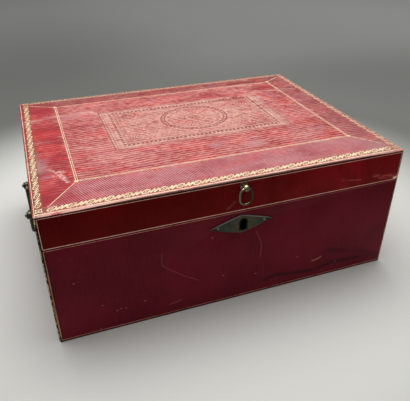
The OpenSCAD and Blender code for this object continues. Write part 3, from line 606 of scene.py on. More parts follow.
def lid_marks(f, base, to_front, ragged):
    """Adds the glow, smears and bald corners of the lid's front."""
    glow = f.marks(f.z, LID_GLOW) * to_front * ragged.rise(0.3, 0.6)
    smear = f.marks(f.z, LID_SMEARS) * to_front * f.noise((9.0, 9.0, 1.6)).rise(0.36, 0.62)
    bald_rim, bald_top = [f.marks(f.z, line) * to_front + ragged - 0.5
                          for line in (LID_RIM_BALD, LID_TOP_BALD)]
    return f.coats(base, (GLOW, glow * 0.5), (LID_SMEAR, smear * 0.6),
                   (BALD_RIM, bald_rim.rise(0.36, 0.5)),
                   (BALD_TOP, bald_top.rise(0.5, 0.7)))


def base_marks(f, base, to_front, ragged):
    """Adds the dark smears, scratches, nicks and ochre edge of the base's front."""
    smear = f.marks(f.z, BASE_SMEARS) * to_front * f.noise(12.0, detail=3.0).rise(0.25, 0.55)
    scratches = f.marks(f.z, BASE_SCRATCHES) * to_front * ragged.rise(0.3, 0.45)
    ochre = (f.marks(f.z, BASE_OCHRE) * to_front + ragged - 0.5).rise(0.5, 0.7)
    return f.coats(base, (SOOT_AND_SHADE, smear * 0.6), (SCRATCH, scratches * 0.5),
                   (NICK, f.marks(f.z, BASE_NICKS) * to_front * 0.75),
                   (OCHRE, ochre * (0.9 - f.z.rise(20.0, 60.0) * 0.4)))


def side_leather(name, red, lid, shine):
    """Dark leather of the sides, grained upright and worn along its edges."""
    dye = settings("leather")
    f = Finish(name, Specular_IOR_Level=shine, IOR=1.45)
    x, y, z = f.x, f.y, f.z
    nx, ny, nz = f.facing()
    u = x * abs(ny).rise(0.6, 0.8) + y * abs(nx).rise(0.6, 0.8)

    ridges = f.noise(f.point((u + f.noise(50.0) * 5.0) / 1.5, z / 22.0), detail=2.5, rough=0.6)
    pores = f.noise(0.6)
    cloud = f.noise(46.0, detail=4.0, rough=0.6)
    light, dark, darker_left = (1.2, 0.76, 0.55) if lid else (1.12, 0.84, 0.12)
    base = f.mixed(shade(red, light), shade(red, dark), cloud.rise(0.36, 0.64))
    if lid:
        bright = x.rise(-60.0, 60.0) * f.noise((20.0, 20.0, 34.0), detail=3.0).rise(0.3, 0.6)
        base = f.mixed(base, LID_BRIGHT, bright * 0.4)
    base = f.coats(base, (shade(red, 1.5, 0.006), ridges.rise(0.48, 0.7) * 0.3),
                   (shade(red, 0.55), x.fall(-200.0, 150.0) * darker_left))

    # Worn edges; painted shade just under the lid's overhang and in the gap along the base's bottom, and
    # darker bands beside the upright corners
    low, high = (LID_RIM_Z, LIP_Z) if lid else (0.0, BASE_RIM_Z)
    ragged = f.noise(5.0, detail=4.0, rough=0.65)
    low_corner, high_corner = in_mm("base_leather")
    upright = (high_corner[0] - abs(x)).most(-low_corner[1] - abs(y)).most(0.0)
    to_rim, rim_shade = (z - low, (high - z).fall(0.2, 1.6)) if lid else (high - z, (z - low).fall(1.7, 2.4))
    edge = (upright.fall(0.3, 1.4) * (0.65 + x.rise(0.0, 20.0) * 0.35)) \
        .most(to_rim.fall(0.1, 1.1) * (0.75 - abs(nz).rise(0.6, 0.8) * upright.rise(0.8, 2.0) * 0.65))
    worn = (edge * 0.8 + ragged - 0.5).rise(0.56, 0.74) * (0.45 + dye.edge_wear * 0.5)
    rim_shade_and_bands = (rim_shade * 0.9).most(upright.fall(3.4, 5.6) * (0.7 + ragged * 0.4))
    base = f.mixed(base, dye.shade_and_band_dark, rim_shade_and_bands.held())

    base = (lid_marks if lid else base_marks)(f, base, (-ny).rise(0.6, 0.8), ragged)
    specks = f.noise((3.2, 3.2, 2.6), detail=1.0).rise(0.72, 0.78) * f.noise(37.0).rise(0.5, 0.62)
    # A pale broken line on the front's upright edges, stronger on the right: worn leather and a painted
    # highlight
    to_right = x.rise(0.0, 9.0)
    pale_edge_wear_and_highlight = (upright - to_right * 0.9).fall(0.6, 1.3) * y.fall(-9.0, 0.0) \
        * (ragged + to_right * 0.16).rise(0.44, 0.58)
    base = f.coats(base, (SPECK, specks * 0.3), (dye.worn_tan, worn.held()),
                   (PALE_EDGE_WEAR_AND_HIGHLIGHT, pale_edge_wear_and_highlight * 0.9))

    height = ridges * 0.6 + pores * 0.4 - worn * 0.4
    rough = 0.46 + pores * 0.12 + cloud * 0.08 + worn * 0.2
    # The keyhole's painted shade darkens the leather round and behind it
    return f.wear(f.keyhole_shade(base), rough, f.bump(height, 0.14, 0.8))


def gilt(name, gold, leather, rubbed, faint=0.0, fading=0.0):
    """Gold leaf pressed into leather and rubbed through in places.

    Faint is how much is lost at the back and the right, fading how much near the seam in front.
    """
    f = Finish(name, Specular_IOR_Level=0.4)
    fine = f.noise(1.3, detail=3.0, rough=0.7)
    broad = f.noise(28.0, detail=3.0, rough=0.6)
    rear = (HALF_D - f.y).fall(8.0, 20.0).most((HALF_W - f.x).fall(8.0, 30.0) * 0.75) * faint
    seam = f.x.rise(-60.0, 30.0) * f.y.fall(-149.0, -140.0) * f.z.rise(100.0, 108.0) * fading
    lost = (fine * 0.55 + broad * 0.45).rise(rubbed, rubbed + 0.10).most(rear).most(seam)
    coppery = tuple(c * k for c, k in zip(gold, (1.0, 0.72, 0.66)))
    base = f.coats(gold, (coppery, f.noise(7.0).rise(0.42, 0.62) * 0.8),
                   (shade(gold, 0.6), f.noise(1.6).rise(0.46, 0.68)), (leather, lost * 0.85))
    return f.wear(base, 0.40 + fine * 0.2 + lost * 0.15, f.bump(fine, 0.05, 0.6), (1.0 - lost) * 0.15)


# Metals
def old_brass(name, bright, smooth):
    """Brass under a dark patina, green in its hollows, rubbed in patches and with a painted highlight on
    its upper left faces.

    Bright is how much handling has polished it and how strong the painted highlight is, smooth how much
    less rough it is and how far the highlight turns to its left faces.
    """
    metal = settings("fittings")
    f = Finish(name)
    fine = f.noise(0.9, detail=3.0, rough=0.65)
    broad = f.noise(9.0, detail=4.0, rough=0.6)
    pits = f.noise(1.6).rise(0.62, 0.72)
    # The right side of the ring and of its post is darker: painted shade
    shaded_side = f.x.rise(4.5, 7.5) * f.z.fall(147.0, 150.0) * f.z.rise(118.0, 121.0)
    nx, _, nz = f.facing()
    # Random rubbed patches, and a painted highlight on faces that point up and to the left
    polish_and_highlight = (broad * 0.5 + fine * 0.5).rise(0.62 - bright * 0.4, 0.78 - bright * 0.4) * 0.25 \
        + (nz * 0.7 - nx * smooth * 3.0).rise(0.25, 0.9) * 0.9
    polish_and_highlight = polish_and_highlight.held() * (1.0 - shaded_side * 0.8)
    base = f.coats(metal.patina, (metal.verdigris, broad.rise(0.5, 0.7) * 0.6),
                   (shade(metal.patina, 0.35), pits * 0.6), (SOOT_AND_SHADE, 0.35 + shaded_side * 0.5),
                   (metal.rubbed_brass_and_highlight, polish_and_highlight * (0.25 + bright * 0.55)))
    return f.wear(base, 0.42 - smooth - polish_and_highlight * 0.12 + pits * 0.15,
                  f.bump(fine - pits * 0.4, 0.06, 0.7 - smooth), 0.72 + polish_and_highlight * 0.2)


def plate_brass():
    """The escutcheon's slate skin: browner in the middle, dark at its ends, with a painted highlight on its
    upper edges and painted shade round and inside the keyhole.
    """
    metal = settings("fittings")
    f = Finish("plate_brass")
    low, high = in_mm("escutcheon")
    across = (f.x - (low[0] + high[0]) / 2) / (high[0] - low[0]) * 2
    up = (f.z - (low[2] + high[2]) / 2) / (high[2] - low[2]) * 2
    fine = f.noise(0.9, detail=3.0, rough=0.65)
    cloud = f.noise(6.0, detail=3.0, rough=0.6)
    middle = (abs(across - 0.15) - 0.2).fall(0.0, 0.55) * cloud.rise(0.3, 0.55)
    dark_ends = (abs(across).rise(0.62, 0.86) * 0.8).most(f.noise(2.2).rise(0.62, 0.72) * 0.4)
    # Painted highlight along the plate's upper edges
    rim = (abs(across) + abs(up)).rise(0.935, 0.97) * up.rise(-0.1, 0.2)
    # Painted shade round the keyhole's round part and its slot, which makes the hole look wider
    hole_x, hole_z = f.x - KEYHOLE_X, f.z - KEYHOLE_Z
    hole_shade = ((hole_x * hole_x + hole_z * hole_z) ** 0.5).fall(5.1, 5.7) \
        .most(abs(hole_x).fall(4.9, 5.5) * abs(hole_z + 4.4).fall(5.6, 6.2))
    base = f.coats(metal.plate, (metal.plate_brown, middle), (metal.verdigris, cloud.rise(0.55, 0.7) * 0.3),
                   (SOOT_AND_SHADE, dark_ends), (metal.plate_rim_highlight, rim * 0.7), (SOOT_AND_SHADE, hole_shade))
    _, ny, _ = f.facing()
    # Faces that do not face the front, such as the keyhole's walls, take the keyhole's painted shade
    base = f.mixed(f.keyhole_shade(base), base, (-ny).rise(0.25, 0.5))
    return f.wear(base, 0.36 + fine * 0.2, f.bump(fine, 0.06, 0.6), 0.6)


def inner_brass():
    """Brass that the lid keeps clean: file marks and a light tarnish."""
    metal = settings("fittings")
    f = Finish("inner_brass")
    drawn = f.noise((7.0, 0.5, 0.5), detail=3.0)
    tarnish = f.noise(7.0, detail=4.0, rough=0.6).rise(0.42, 0.68)
    base = f.mixed(metal.brass, metal.brass_dull, tarnish * 0.7)
    return f.wear(base, 0.30 + tarnish * 0.2 + drawn * 0.08, f.bump(drawn, 0.03, 0.7), 0.92)


def dark_iron():
    """Hand-made iron with a brown rust bloom."""
    metal = settings("fittings")
    f = Finish("dark_iron")
    scale = f.noise(1.4, detail=3.0, rough=0.65)
    rust = f.noise(5.0, detail=4.0, rough=0.65).rise(0.45, 0.66)
    # The keyhole's painted shade darkens the lock's iron behind it
    base = f.keyhole_shade(f.mixed(metal.iron, metal.rust, rust * 0.8))
    return f.wear(base, 0.40 + rust * 0.3, f.bump(scale, 0.08, 0.8), 0.9 - rust * 0.6)


# Cloth and wood
def lining_silk():
    """Watered silk of the inside: fine cross threads, wavy sheen and faded patches."""
    cloth = settings("cloth")
    f = Finish("lining_silk", Specular_IOR_Level=0.4, Sheen_Weight=0.25)
    nx, _, nz = f.facing()
    sideways, level = abs(nx).rise(0.6, 0.8), abs(nz).rise(0.6, 0.8)
    u = f.x * (1.0 - sideways) + f.y * sideways
    v = f.z * (1.0 - level) + f.y * level
    warp = f.noise((40.0, 22.0, 22.0)) * 9.0
    water = f.noise(f.point(u / 34.0, (v + warp) / 3.0), detail=3.0, rough=0.6).rise(0.38, 0.64)
    weave = (u * (2 * math.pi / 0.9)).sine() * (v * (2 * math.pi / 0.7)).sine()
    faded = f.noise(70.0, detail=3.0).rise(0.35, 0.7)
    stain = f.noise(24.0, detail=4.0).rise(0.64, 0.76)
    base = f.coats(cloth.silk, (cloth.silk_faded, faded * 0.6 + water * 0.3),
                   (shade(cloth.silk, 0.55), stain * 0.5))
    return f.wear(base, 0.52 - water * 0.14 + faded * 0.06,
                  f.bump(weave * 0.35 + water * 0.4, 0.07, 0.7))


def underside_cloth():
    """Felted cloth under the box, rubbed flat in patches."""
    cloth = settings("cloth")
    f = Finish("underside_cloth", Sheen_Weight=0.4, Specular_IOR_Level=0.2)
    fuzz = f.noise(0.8, detail=4.0, rough=0.7)
    rubbed = f.noise(45.0, detail=4.0, rough=0.65).rise(0.45, 0.7)
    base = f.mixed(cloth.baize, shade(cloth.baize, 2.1), rubbed * 0.6 + fuzz * 0.2)
    return f.wear(base, 0.85 + fuzz * 0.1, f.bump(fuzz, 0.15, 0.9))


def carcass_wood(name, along):
    """Softwood boards; along is the axis of the grain."""
    cloth = settings("cloth")
    f = Finish(name, Specular_IOR_Level=0.3)
    rings, fibres = [
        f.noise(tuple(size if axis == along else thin for axis in range(3)), detail=detail, warp=warp)
        for size, thin, detail, warp in ((160.0, 9.0, 3.0, 0.4), (14.0, 0.5, 2.0, 0.0))]
    lines = (rings * 60.0).sine() * 0.5 + 0.5
    # The keyhole's painted shade darkens the boards behind it
    base = f.keyhole_shade(f.mixed(cloth.wood, cloth.wood_dark, lines * 0.5 + fibres * 0.3))
    return f.wear(base, 0.62 + fibres * 0.12, f.bump(fibres, 0.08, 0.7))


def stage_floor():
    """Pale floor that falls off to grey far from the box: the darker fold is painted shade where a backdrop
    wall would stand, lighter again farther out and to the right.
    """
    stage = settings("stage")
    f = Finish("stage_floor", Specular_IOR_Level=0.15)
    away = f.node("ShaderNodeVectorMath", {"operation": "LENGTH"}, {0: f.at}, out="Value")
    far_right = f.x.rise(-150.0, 500.0) * (0.10 + f.y.rise(500.0, 900.0) * 0.19)
    base = f.coats(stage.floor, (stage.floor_fold_shade, away.rise(300.0, 560.0)),
                   (stage.far_floor, away.rise(420.0, 620.0) * far_right),
                   (stage.far_floor, away.rise(750.0, 1950.0) * (0.65 + f.x.rise(-400.0, 1400.0) * 0.35)))
    return f.wear(base, 0.8)


# Geometry
def smooth(mesh, angle):
    """Smooth shading, with edges kept sharp from an angle in degrees on."""
    mesh.shade_smooth()
    mesh.set_sharp_from_angle(angle=math.radians(angle))


def made_mesh(name, points, faces, angle=35.0):
    """A mesh from points in millimetres, its faces turned outward."""
    mesh = bpy.data.meshes.new(name)
    mesh.from_pydata((np.asarray(points, float) * MM).tolist(), [], faces)
    work = bmesh.new()
    work.from_mesh(mesh)
    bmesh.ops.recalc_face_normals(work, faces=work.faces)
    work.to_mesh(mesh)
    work.free()
    smooth(mesh, angle)
    return mesh


def add_piece(name, mesh, body, finish, nodes=()):
    """Puts a new piece on its body, with its finish and the CAD nodes that it stands for."""
    piece = bpy.data.objects.new(name, mesh)
    bpy.context.scene.collection.objects.link(piece)
    mesh.materials.clear()
    mesh.materials.append(finish)
    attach(piece, body)
    if nodes:
        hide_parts(*nodes)
    return piece


def give_finish(finish, *nodes):
    """A better finish for CAD nodes that stay as they are."""
    for name in nodes:
        mesh = frame["nodes"][name].data
        mesh.materials.clear()
        mesh.materials.append(finish)


def softened(node, width, finish):
    """A copy of a CAD node with its sharp edges rounded, standing for it."""
    source = frame["nodes"][node]
    work = bmesh.new()
    work.from_mesh(source.data)
    bmesh.ops.remove_doubles(work, verts=work.verts, dist=1e-6)
    bmesh.ops.dissolve_limit(work, angle_limit=math.radians(0.4), verts=work.verts,
                             edges=work.edges, use_dissolve_boundaries=False)
    mesh = bpy.data.meshes.new(node + "_soft")
    work.to_mesh(mesh)
    work.free()
    holder = bpy.data.objects.new(node + "_work", mesh)
    bpy.context.scene.collection.objects.link(holder)
    edge = holder.modifiers.new("edge", "BEVEL")
    edge.width, edge.segments = width * MM, 2
    edge.limit_method, edge.angle_limit = "ANGLE", math.radians(30.0)
    edge.use_clamp_overlap = True
    edge.miter_outer = "MITER_ARC"
    graph = bpy.context.evaluated_depsgraph_get()
    shaped = bpy.data.meshes.new_from_object(holder.evaluated_get(graph))
    bpy.data.objects.remove(holder)
    bpy.data.meshes.remove(mesh)
    shaped.name = node + "_rounded"
    smooth(shaped, 50.0)
    return add_piece(node + "_finished", shaped, source["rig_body"], finish, (node,))


def lid_unevenness(x, y):
    """Gentle rise and fall of the lid's top, in millimetres."""
    return (0.09 * np.sin(x / 43 + 1.3) * np.cos(y / 37 + 0.4) + 0.05 * np.sin(x / 21 - y / 29 + 2.1)
            + 0.03 * np.sin((x + 1.7 * y) / 15.0))


def lid_surface(x, y):
    """Height of the lid's top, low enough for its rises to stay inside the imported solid."""
    return TOP_Z - 0.29 + lid_unevenness(x, y)


# Places on each face of the box: along it, up it and out of it
WALLS = {
    "front": lambda u, v, w: (u, -HALF_D - w, v),
    "back": lambda u, v, w: (-u, HALF_D + w, v),
    "left": lambda u, v, w: (-HALF_W - w, -u, v),
    "right": lambda u, v, w: (HALF_W + w, u, v),
    "top": lambda u, v, w: (u, v, lid_surface(u, v) + w),
}
# Places on the lid's top from one of its sides: along the side and in from it
FROM_SIDE = {
    "front": lambda s, inset: (s, -HALF_D + inset),
    "right": lambda s, inset: (HALF_W - inset, s),
    "back": lambda s, inset: (-s, HALF_D - inset),
    "left": lambda s, inset: (-HALF_W + inset, -s),
}


class Inlay:
    """Thin closed slips on one face of the box, drawn in that face's own millimetres."""

    def __init__(self, wall, rise, sunk):
        self.wall = wall
        self.rise, self.sunk = rise, sunk
        self.spots, self.faces = [], []

    def slip(self, left, right, closed=False):
        """A strip between two rows of points."""
        first, count = len(self.spots), len(left)
        for a, b in zip(left, right):
            self.spots += [(*a, self.rise), (*b, self.rise), (*b, -self.sunk), (*a, -self.sunk)]
        for i in range(count if closed else count - 1):
            p, q = first + 4 * i, first + 4 * ((i + 1) % count)
            for k in range(4):
                self.faces.append((p + k, p + (k + 1) % 4, q + (k + 1) % 4, q + k))
        if not closed:
            end = first + 4 * (count - 1)
            self.faces += [(first + 3, first + 2, first + 1, first), (end, end + 1, end + 2, end + 3)]

    def stroke(self, points, width, taper=0.0, closed=False):
        """A line with a width, thinner at its ends by taper."""
        path = np.asarray(points, float)
        if closed:
            run = np.roll(path, -1, 0) - np.roll(path, 1, 0)
        else:
            run = np.gradient(path, axis=0)
        run /= np.maximum(np.linalg.norm(run, axis=1, keepdims=True), 1e-9)
        aside = np.stack([-run[:, 1], run[:, 0]], 1)
        t = np.linspace(-1, 1, len(path))
        half = width / 2 * (1 - taper * (t ** 2 if not closed else 0 * t))
        self.slip(path + aside * half[:, None], path - aside * half[:, None], closed)

    def line(self, start, end, width):
        """A straight line, with a point every 9 mm so that it follows the lid's top."""
        count = max(2, int(math.dist(start, end) / 9.0) + 1)
        self.stroke(np.linspace(start, end, count), width)

    def dot(self, u, v, a, b=None, turn=0.0, sides=10):
        """A small filled oval."""
        angles = np.linspace(0, 2 * math.pi, sides, endpoint=False)
        b = a if b is None else b
        du, dv = a * np.cos(angles), b * np.sin(angles)
        c, s = math.cos(turn), math.sin(turn)
        first = len(self.spots)
        for level in (self.rise, -self.sunk):
            self.spots += [(u + p * c - q * s, v + p * s + q * c, level) for p, q in zip(du, dv)]
        self.faces.append(tuple(range(first, first + sides)))
        self.faces.append(tuple(range(first + 2 * sides - 1, first + sides - 1, -1)))
        for i in range(sides):
            j = (i + 1) % sides
            self.faces.append((first + i, first + j, first + sides + j, first + sides + i))

    def ring(self, u, v, radius, width, sides=20):
        angles = np.linspace(0, 2 * math.pi, sides, endpoint=False)
        circle = [(u + radius * math.cos(t), v + radius * math.sin(t)) for t in angles]
        self.stroke(circle, width, closed=True)

    def rope(self, start, end, width):
        """A row of slanted strands, as a rope-pattern wheel leaves them."""
        run, pitch, lean = math.dist(start, end), settings("tooling").rope_pitch / MM, 0.55
        count = max(1, round(run / pitch))
        du, dv = (end[0] - start[0]) / run, (end[1] - start[1]) / run
        for i in range(count):
            t = (i + 0.5) * run / count
            u, v = start[0] + du * t, start[1] + dv * t
            half = run / count * 0.40
            ends = [(u + du * (s * half + lean * width * h) - dv * width / 2 * h,
                     v + dv * (s * half + lean * width * h) + du * width / 2 * h)
                    for s, h in ((-1, -1), (1, -1), (1, 1), (-1, 1))]
            self.slip([ends[3], ends[2]], [ends[0], ends[1]])

    def petals(self, u, v, reach, long, wide=None):
        """Four dots round a place, turned outward if they are ovals."""
        for k in range(4):
            a = math.pi / 4 + k * math.pi / 2
            self.dot(u + reach * math.cos(a), v + reach * math.sin(a), long, wide, a if wide else 0.0)

    def mesh(self, name):
        points = np.stack(WALLS[self.wall](*np.array(self.spots).T), 1)
        return made_mesh(name, points, self.faces, 25.0)


def border_roll(inlay):
    """The gilt roll round the lid's top: leaning eyes with thick leaning strands between them."""
    tool, middle = settings("tooling"), roll_middles()
    half, repeat = tool.roll_half / MM, tool.roll_repeat / MM
    eye = [(3.5 * math.cos(a) + 2.1 * math.sin(a), math.sin(a))
           for a in np.linspace(0, 2 * math.pi, 20, endpoint=False)]
    strand = [(2.7 * v + 0.9 * math.sin(math.pi * v), v * 1.05) for v in np.linspace(-1, 1, 7)]
    curl = [(1.9 * v, v * 0.42) for v in np.linspace(-1, 1, 5)]
    gap, margin = 1.6, 5.4

    # Each side with the two that meet it, the roll's weight, height and lean, and its strands' places
    for side, before, after, weight, tall, lean, strands in (
            ("front", "left", "right", 1.0, half, 1, (6.9, 10.9)),
            ("right", "front", "back", 0.85, half * 0.75, 1, (8.9,)),
            ("back", "right", "left", 0.6, half * 0.8, 1, (6.9, 10.9)),
            ("left", "back", "front", 0.62, half * 0.82, -1, (6.9, 10.9))):
        drift = LEFT_DRIFT if side == "left" else 0.0
        reach = HALF_W if side in ("front", "back") else HALF_D
        start = -reach + middle[before] + half + gap + margin
        end = reach - middle[after] - half - gap - margin
        count = round((end - start) / repeat)
        step = (end - start) / count
        for i in range(count + 1):

            def place(points, shift=0.0):
                centre = start + i * step + shift * step / repeat
                spots = [FROM_SIDE[side](centre + s * lean, middle[side] + t * tall) for s, t in points]
                return [(u + drift * v, v) for u, v in spots]

            inlay.stroke(place(eye), 1.6 * weight, closed=True)
            inlay.stroke(place(curl), 1.2 * weight, taper=0.5)
            if i < count:
                for shift in strands:
                    inlay.stroke(place(strand, shift), 2.7 * weight, taper=0.45)
                for shift, drop in ((4.4, 0.85), (13.4, -0.85)):
                    inlay.dot(*place([(0.0, drop)], shift)[0], 0.9 * weight)

    # Fillets outside the roll: inset and width
    for inset, wide, reach, side in ((3.9, 1.6, HALF_W, "front"), (2.0, 0.6, HALF_D, "left"),
                                     (1.2, 0.4, HALF_D, "right"), (1.2, 0.4, HALF_W, "back")):
        at = FROM_SIDE[side]
        inlay.line(at(-reach + 2.0, inset), at(reach - 2.0, inset), wide)

    # A flower in each corner
    for (across, sx), (deep, sy) in (((middle["left"], -1), (middle["front"], -1)),
                                     ((middle["right"], 1), (middle["front"], -1)),
                                     ((middle["right"], 1), (middle["back"], 1)),
                                     ((middle["left"], -1), (middle["back"], 1))):
        v = sy * (HALF_D - deep)
        u = sx * (HALF_W - across) + (LEFT_DRIFT * v if sx < 0 else 0.0)
        inlay.ring(u, v, 2.6, 0.9)
        inlay.dot(u, v, 1.0)
        inlay.petals(u, v, 3.4, 1.3, 0.8)


def gilt_rectangle(inlay):
    """A fine fillet and a rope line as a rectangle, its corner flowers and the mitre lines."""
    left, right, front, back = edges_of("frame")
    corners = [(left, front), (right, front), (right, back), (left, back)]
    # The mitre lines stop short of the border roll
    reach_u, reach_v = HALF_W - 14.2, HALF_D - 14.2
    for (a, b), (c, d) in zip(corners, corners[1:] + corners[:1]):
        run = np.array([c - a, d - b]) / math.dist((a, b), (c, d))
        inward = np.array([-run[1], run[0]])
        inlay.line((a, b), (c, d), 0.8)
        start = np.array([a, b]) + (inward + run) * 1.9
        end = np.array([c, d]) + (inward - run) * 1.9
        inlay.rope(start, end, 0.75)
    for (u, v), (far_u, far_v) in zip(corners, MITRE_ENDS):
        far = (max(-reach_u, min(reach_u, far_u)), max(-reach_v, min(reach_v, far_v)))
        away = np.array(far) - np.array((u, v))
        away /= np.linalg.norm(away)
        inlay.line(np.array((u, v)) + away * 2.5, far, 0.8)
        inlay.petals(u, v, 1.5, 1.0)
        inlay.dot(u, v, 0.8)


def wall_lines(wall, half, low, high, inset, rims):
    """Lines round one side: a worn fillet along each rim and rope lines up beside the corners."""
    inlay = Inlay(wall, 0.05, 0.1)
    bottom, top = low + rims[0], high - rims[1]
    for level, width in ((bottom, 0.75), (top, 0.6)):
        inlay.line((-half + inset, level), (half - inset, level), width)
    for u in (inset - half, half - inset):
        inlay.rope((u, bottom), (u, top), 0.8)
    return inlay


class Stamp:
    """Blind tooling on the lid's panel: how deep each point is pressed, from 0 to 1."""

    def __init__(self, x, y):
        self.x, self.y, self.deep = x, y, np.zeros_like(x)
        left, right, front, back = edges_of("panel")
        # The rim's lines lie closer together in front and behind
        self.rim_x = np.minimum(x - left, right - x) / 1.4
        self.rim_y = np.minimum(y - front, back - y)
        self.rim = np.minimum(self.rim_x, self.rim_y)
        self.upright = self.rim_x < self.rim_y
        self.along = np.where(self.upright, y - front, x - left)
        inner_u, inner_v = 15.8 * 1.4 + 2, 15.8 + 1.5
        self.fans = ((left + inner_u, front + inner_v, 1, 1), (right - inner_u, front + inner_v, -1, 1),
                     (right - inner_u, back - inner_v, -1, -1), (left + inner_u, back - inner_v, 1, -1))

        # The oval medallion's middle, half axes and own rays
        self.oval = 10.5, 24.0, 43.0, 37.5
        cu, cv, a, b = self.oval
        du, dv = (x - cu) / a, (y - cv) / b
        self.reach, self.angle = np.hypot(du, dv), np.arctan2(dv, du)

    def press(self, distance, half, soft=0.45, depth=1.0, where=True):
        """A line wherever a distance is near 0, with a soft edge."""
        t = np.clip((half + soft - np.abs(np.where(where, distance, 9.0))) / soft, 0, 1)
        self.deep = np.maximum(self.deep, depth * t * t * (3 - 2 * t))

    def press_oval(self, cu, cv, a, b, turn, depth):
        c, s = np.cos(turn), np.sin(turn)
        du, dv = self.x - cu, self.y - cv
        p, q = (du * c + dv * s) / a, (-du * s + dv * c) / b
        self.press((np.sqrt(p * p + q * q) - 0.5) * min(a, b), min(a, b) * 0.5, 0.5, depth)

    def borders(self):
        """Lines, dentils and ribs along the panel's rim."""
        rim, inside = self.rim, self.rim > -1
        for at, half, depth in ((0.7, 0.45, 0.5), (3.0, 0.35, 0.35), (5.4, 0.25, 0.25),
                                (13.4, 0.3, 0.4), (15.8, 0.3, 0.3)):
            self.press(rim - at, half, depth=depth, where=inside)
        phase = np.abs((self.along / 5.2) % 1.0 - 0.5) * 5.2
        tall = np.where(self.upright, 0.8, 1.3)
        dentil = np.maximum(np.maximum(np.abs(rim - 9.6) - tall, phase - 1.25), 0.0)
        self.press(dentil, 0.1, 0.4, 0.78, inside)
        self.press(rim - 11.9, 0.2, 0.35, 0.4, inside)
        ribs = np.abs((self.along / 2.4) % 1.0 - 0.5) * 2.4
        self.press(ribs, 0.2, 0.4, 0.25, inside & (rim > 3.6) & (rim < 7.6) & self.upright)

    def quarter_fans(self):
        """A fan with seven ribs in each corner of the inner rectangle."""
        for cu, cv, sx, sy in self.fans:
            du, dv = (self.x - cu) * sx, (self.y - cv) * sy
            reach, angle = np.hypot(du, dv), np.arctan2(dv, du)
            in_fan = (du > -0.5) & (dv > -0.5)
            self.press(reach - 5.5, 0.35, depth=0.5, where=in_fan)
            scallop = 20.5 + 1.6 * np.abs(np.sin(angle * 7))
            self.press(reach - scallop, 0.4, depth=0.55, where=in_fan)
            rib = np.abs(((angle / (math.pi / 2) * 7) % 1.0) - 0.5)
            rib = (0.5 - rib) * (math.pi / 2 / 7) * reach
            self.press(rib, 0.3, 0.35, 0.7, in_fan & (reach > 6.5) & (reach < 19.0))
            self.press(np.minimum(du, dv), 0.2, 0.35, 0.5, in_fan & (du < reach) & (reach < 23))

    def medallion(self):
        """An oval with a beaded rim and sixteen petals, and leaves on both sides of it."""
        reach, angle = self.reach, self.angle
        cu, cv, a, b = self.oval
        scale = min(a, b)
        for at, half, depth in ((1.0, 0.45, 0.7), (0.9, 0.35, 0.65), (0.30, 0.3, 0.45), (0.16, 0.3, 0.4)):
            self.press((reach - at) * scale, half, depth=depth)
        bead = np.abs(((angle / (2 * math.pi) * 44) % 1.0) - 0.5) * 2 * math.pi / 44 * reach * scale
        bead = np.maximum(np.maximum(np.abs(reach - 0.95) * scale - 0.5, bead - 0.8), 0.0)
        self.press(bead, 0.1, 0.35, 0.6)
        tip = 0.70 + 0.09 * np.abs(np.cos(angle * 8))
        self.press((reach - tip) * scale, 0.35, depth=0.5)
        vein = np.abs(((angle / (2 * math.pi) * 16) % 1.0) - 0.5)
        split = (0.5 - vein) * 2 * math.pi / 16 * reach * scale
        self.press(split, 0.2, 0.4, 0.5, (reach > 0.33) & (reach < tip - 0.02))
        vein = vein * 2 * math.pi / 16 * reach * scale
        self.press(vein, 0.1, 0.35, 0.5, (reach > 0.38) & (reach < 0.6))
        for k in range(8):
            t = k * math.pi / 4
            self.press_oval(cu + 3.6 * math.cos(t), cv + 3.2 * math.sin(t), 1.5, 0.8, t, 0.45)
        for side in (-1, 1):
            root = cu + side * (a + 3.0)
            for k in range(-2, 3):
                t = k * 0.48
                self.press_oval(root + side * 6.5 * math.cos(t), cv + 6.5 * math.sin(t),
                                3.4, 0.75, math.atan2(math.sin(t), side * math.cos(t)), 0.35)
            self.press_oval(root + side * 1.2, cv, 1.2, 1.2, 0.0, 0.3)

    def stops(self):
        """Small round stops over the ground that is left."""
        cu, cv, a, _ = self.oval
        free = (self.rim > 18.5) & (self.reach > 1.12)
        for fan_u, fan_v, _, _ in self.fans:
            free &= np.hypot(self.x - fan_u, self.y - fan_v) > 25
        free &= ~((np.abs(self.y - cv) < 12) & (np.abs(self.x - cu) < a + 16))
        wide, tall = 4.6, 4.8
        column = self.x / wide + np.floor(self.y / tall + 0.5) % 2 * 0.5
        row = self.y / tall + 0.5
        stray = np.sin(np.floor(column) * 12.99 + np.floor(row) * 78.23) * 437.5 % 1.0 - 0.5
        u, v = column % 1.0 - 0.5 + stray * 0.3, row % 1.0 - 0.5 - stray * 0.2
        stop = np.hypot(u * wide, v * tall)
        self.press(stop - 1.2, 0.2, 0.35, np.where(stray > 0.1, 0.5, 0.3), free)
        self.press(stop, 0.25, 0.35, 0.3, free)


def stamped_panel(x, y):
    """How deep the blind tooling is pressed at each point, from 0 to 1."""
    stamp = Stamp(x, y)
    for tooling in (stamp.borders, stamp.quarter_fans, stamp.medallion, stamp.stops):
        tooling()
    return stamp.deep


def spaced(low, high, step):
    return np.linspace(low, high, max(2, round((high - low) / step) + 1))


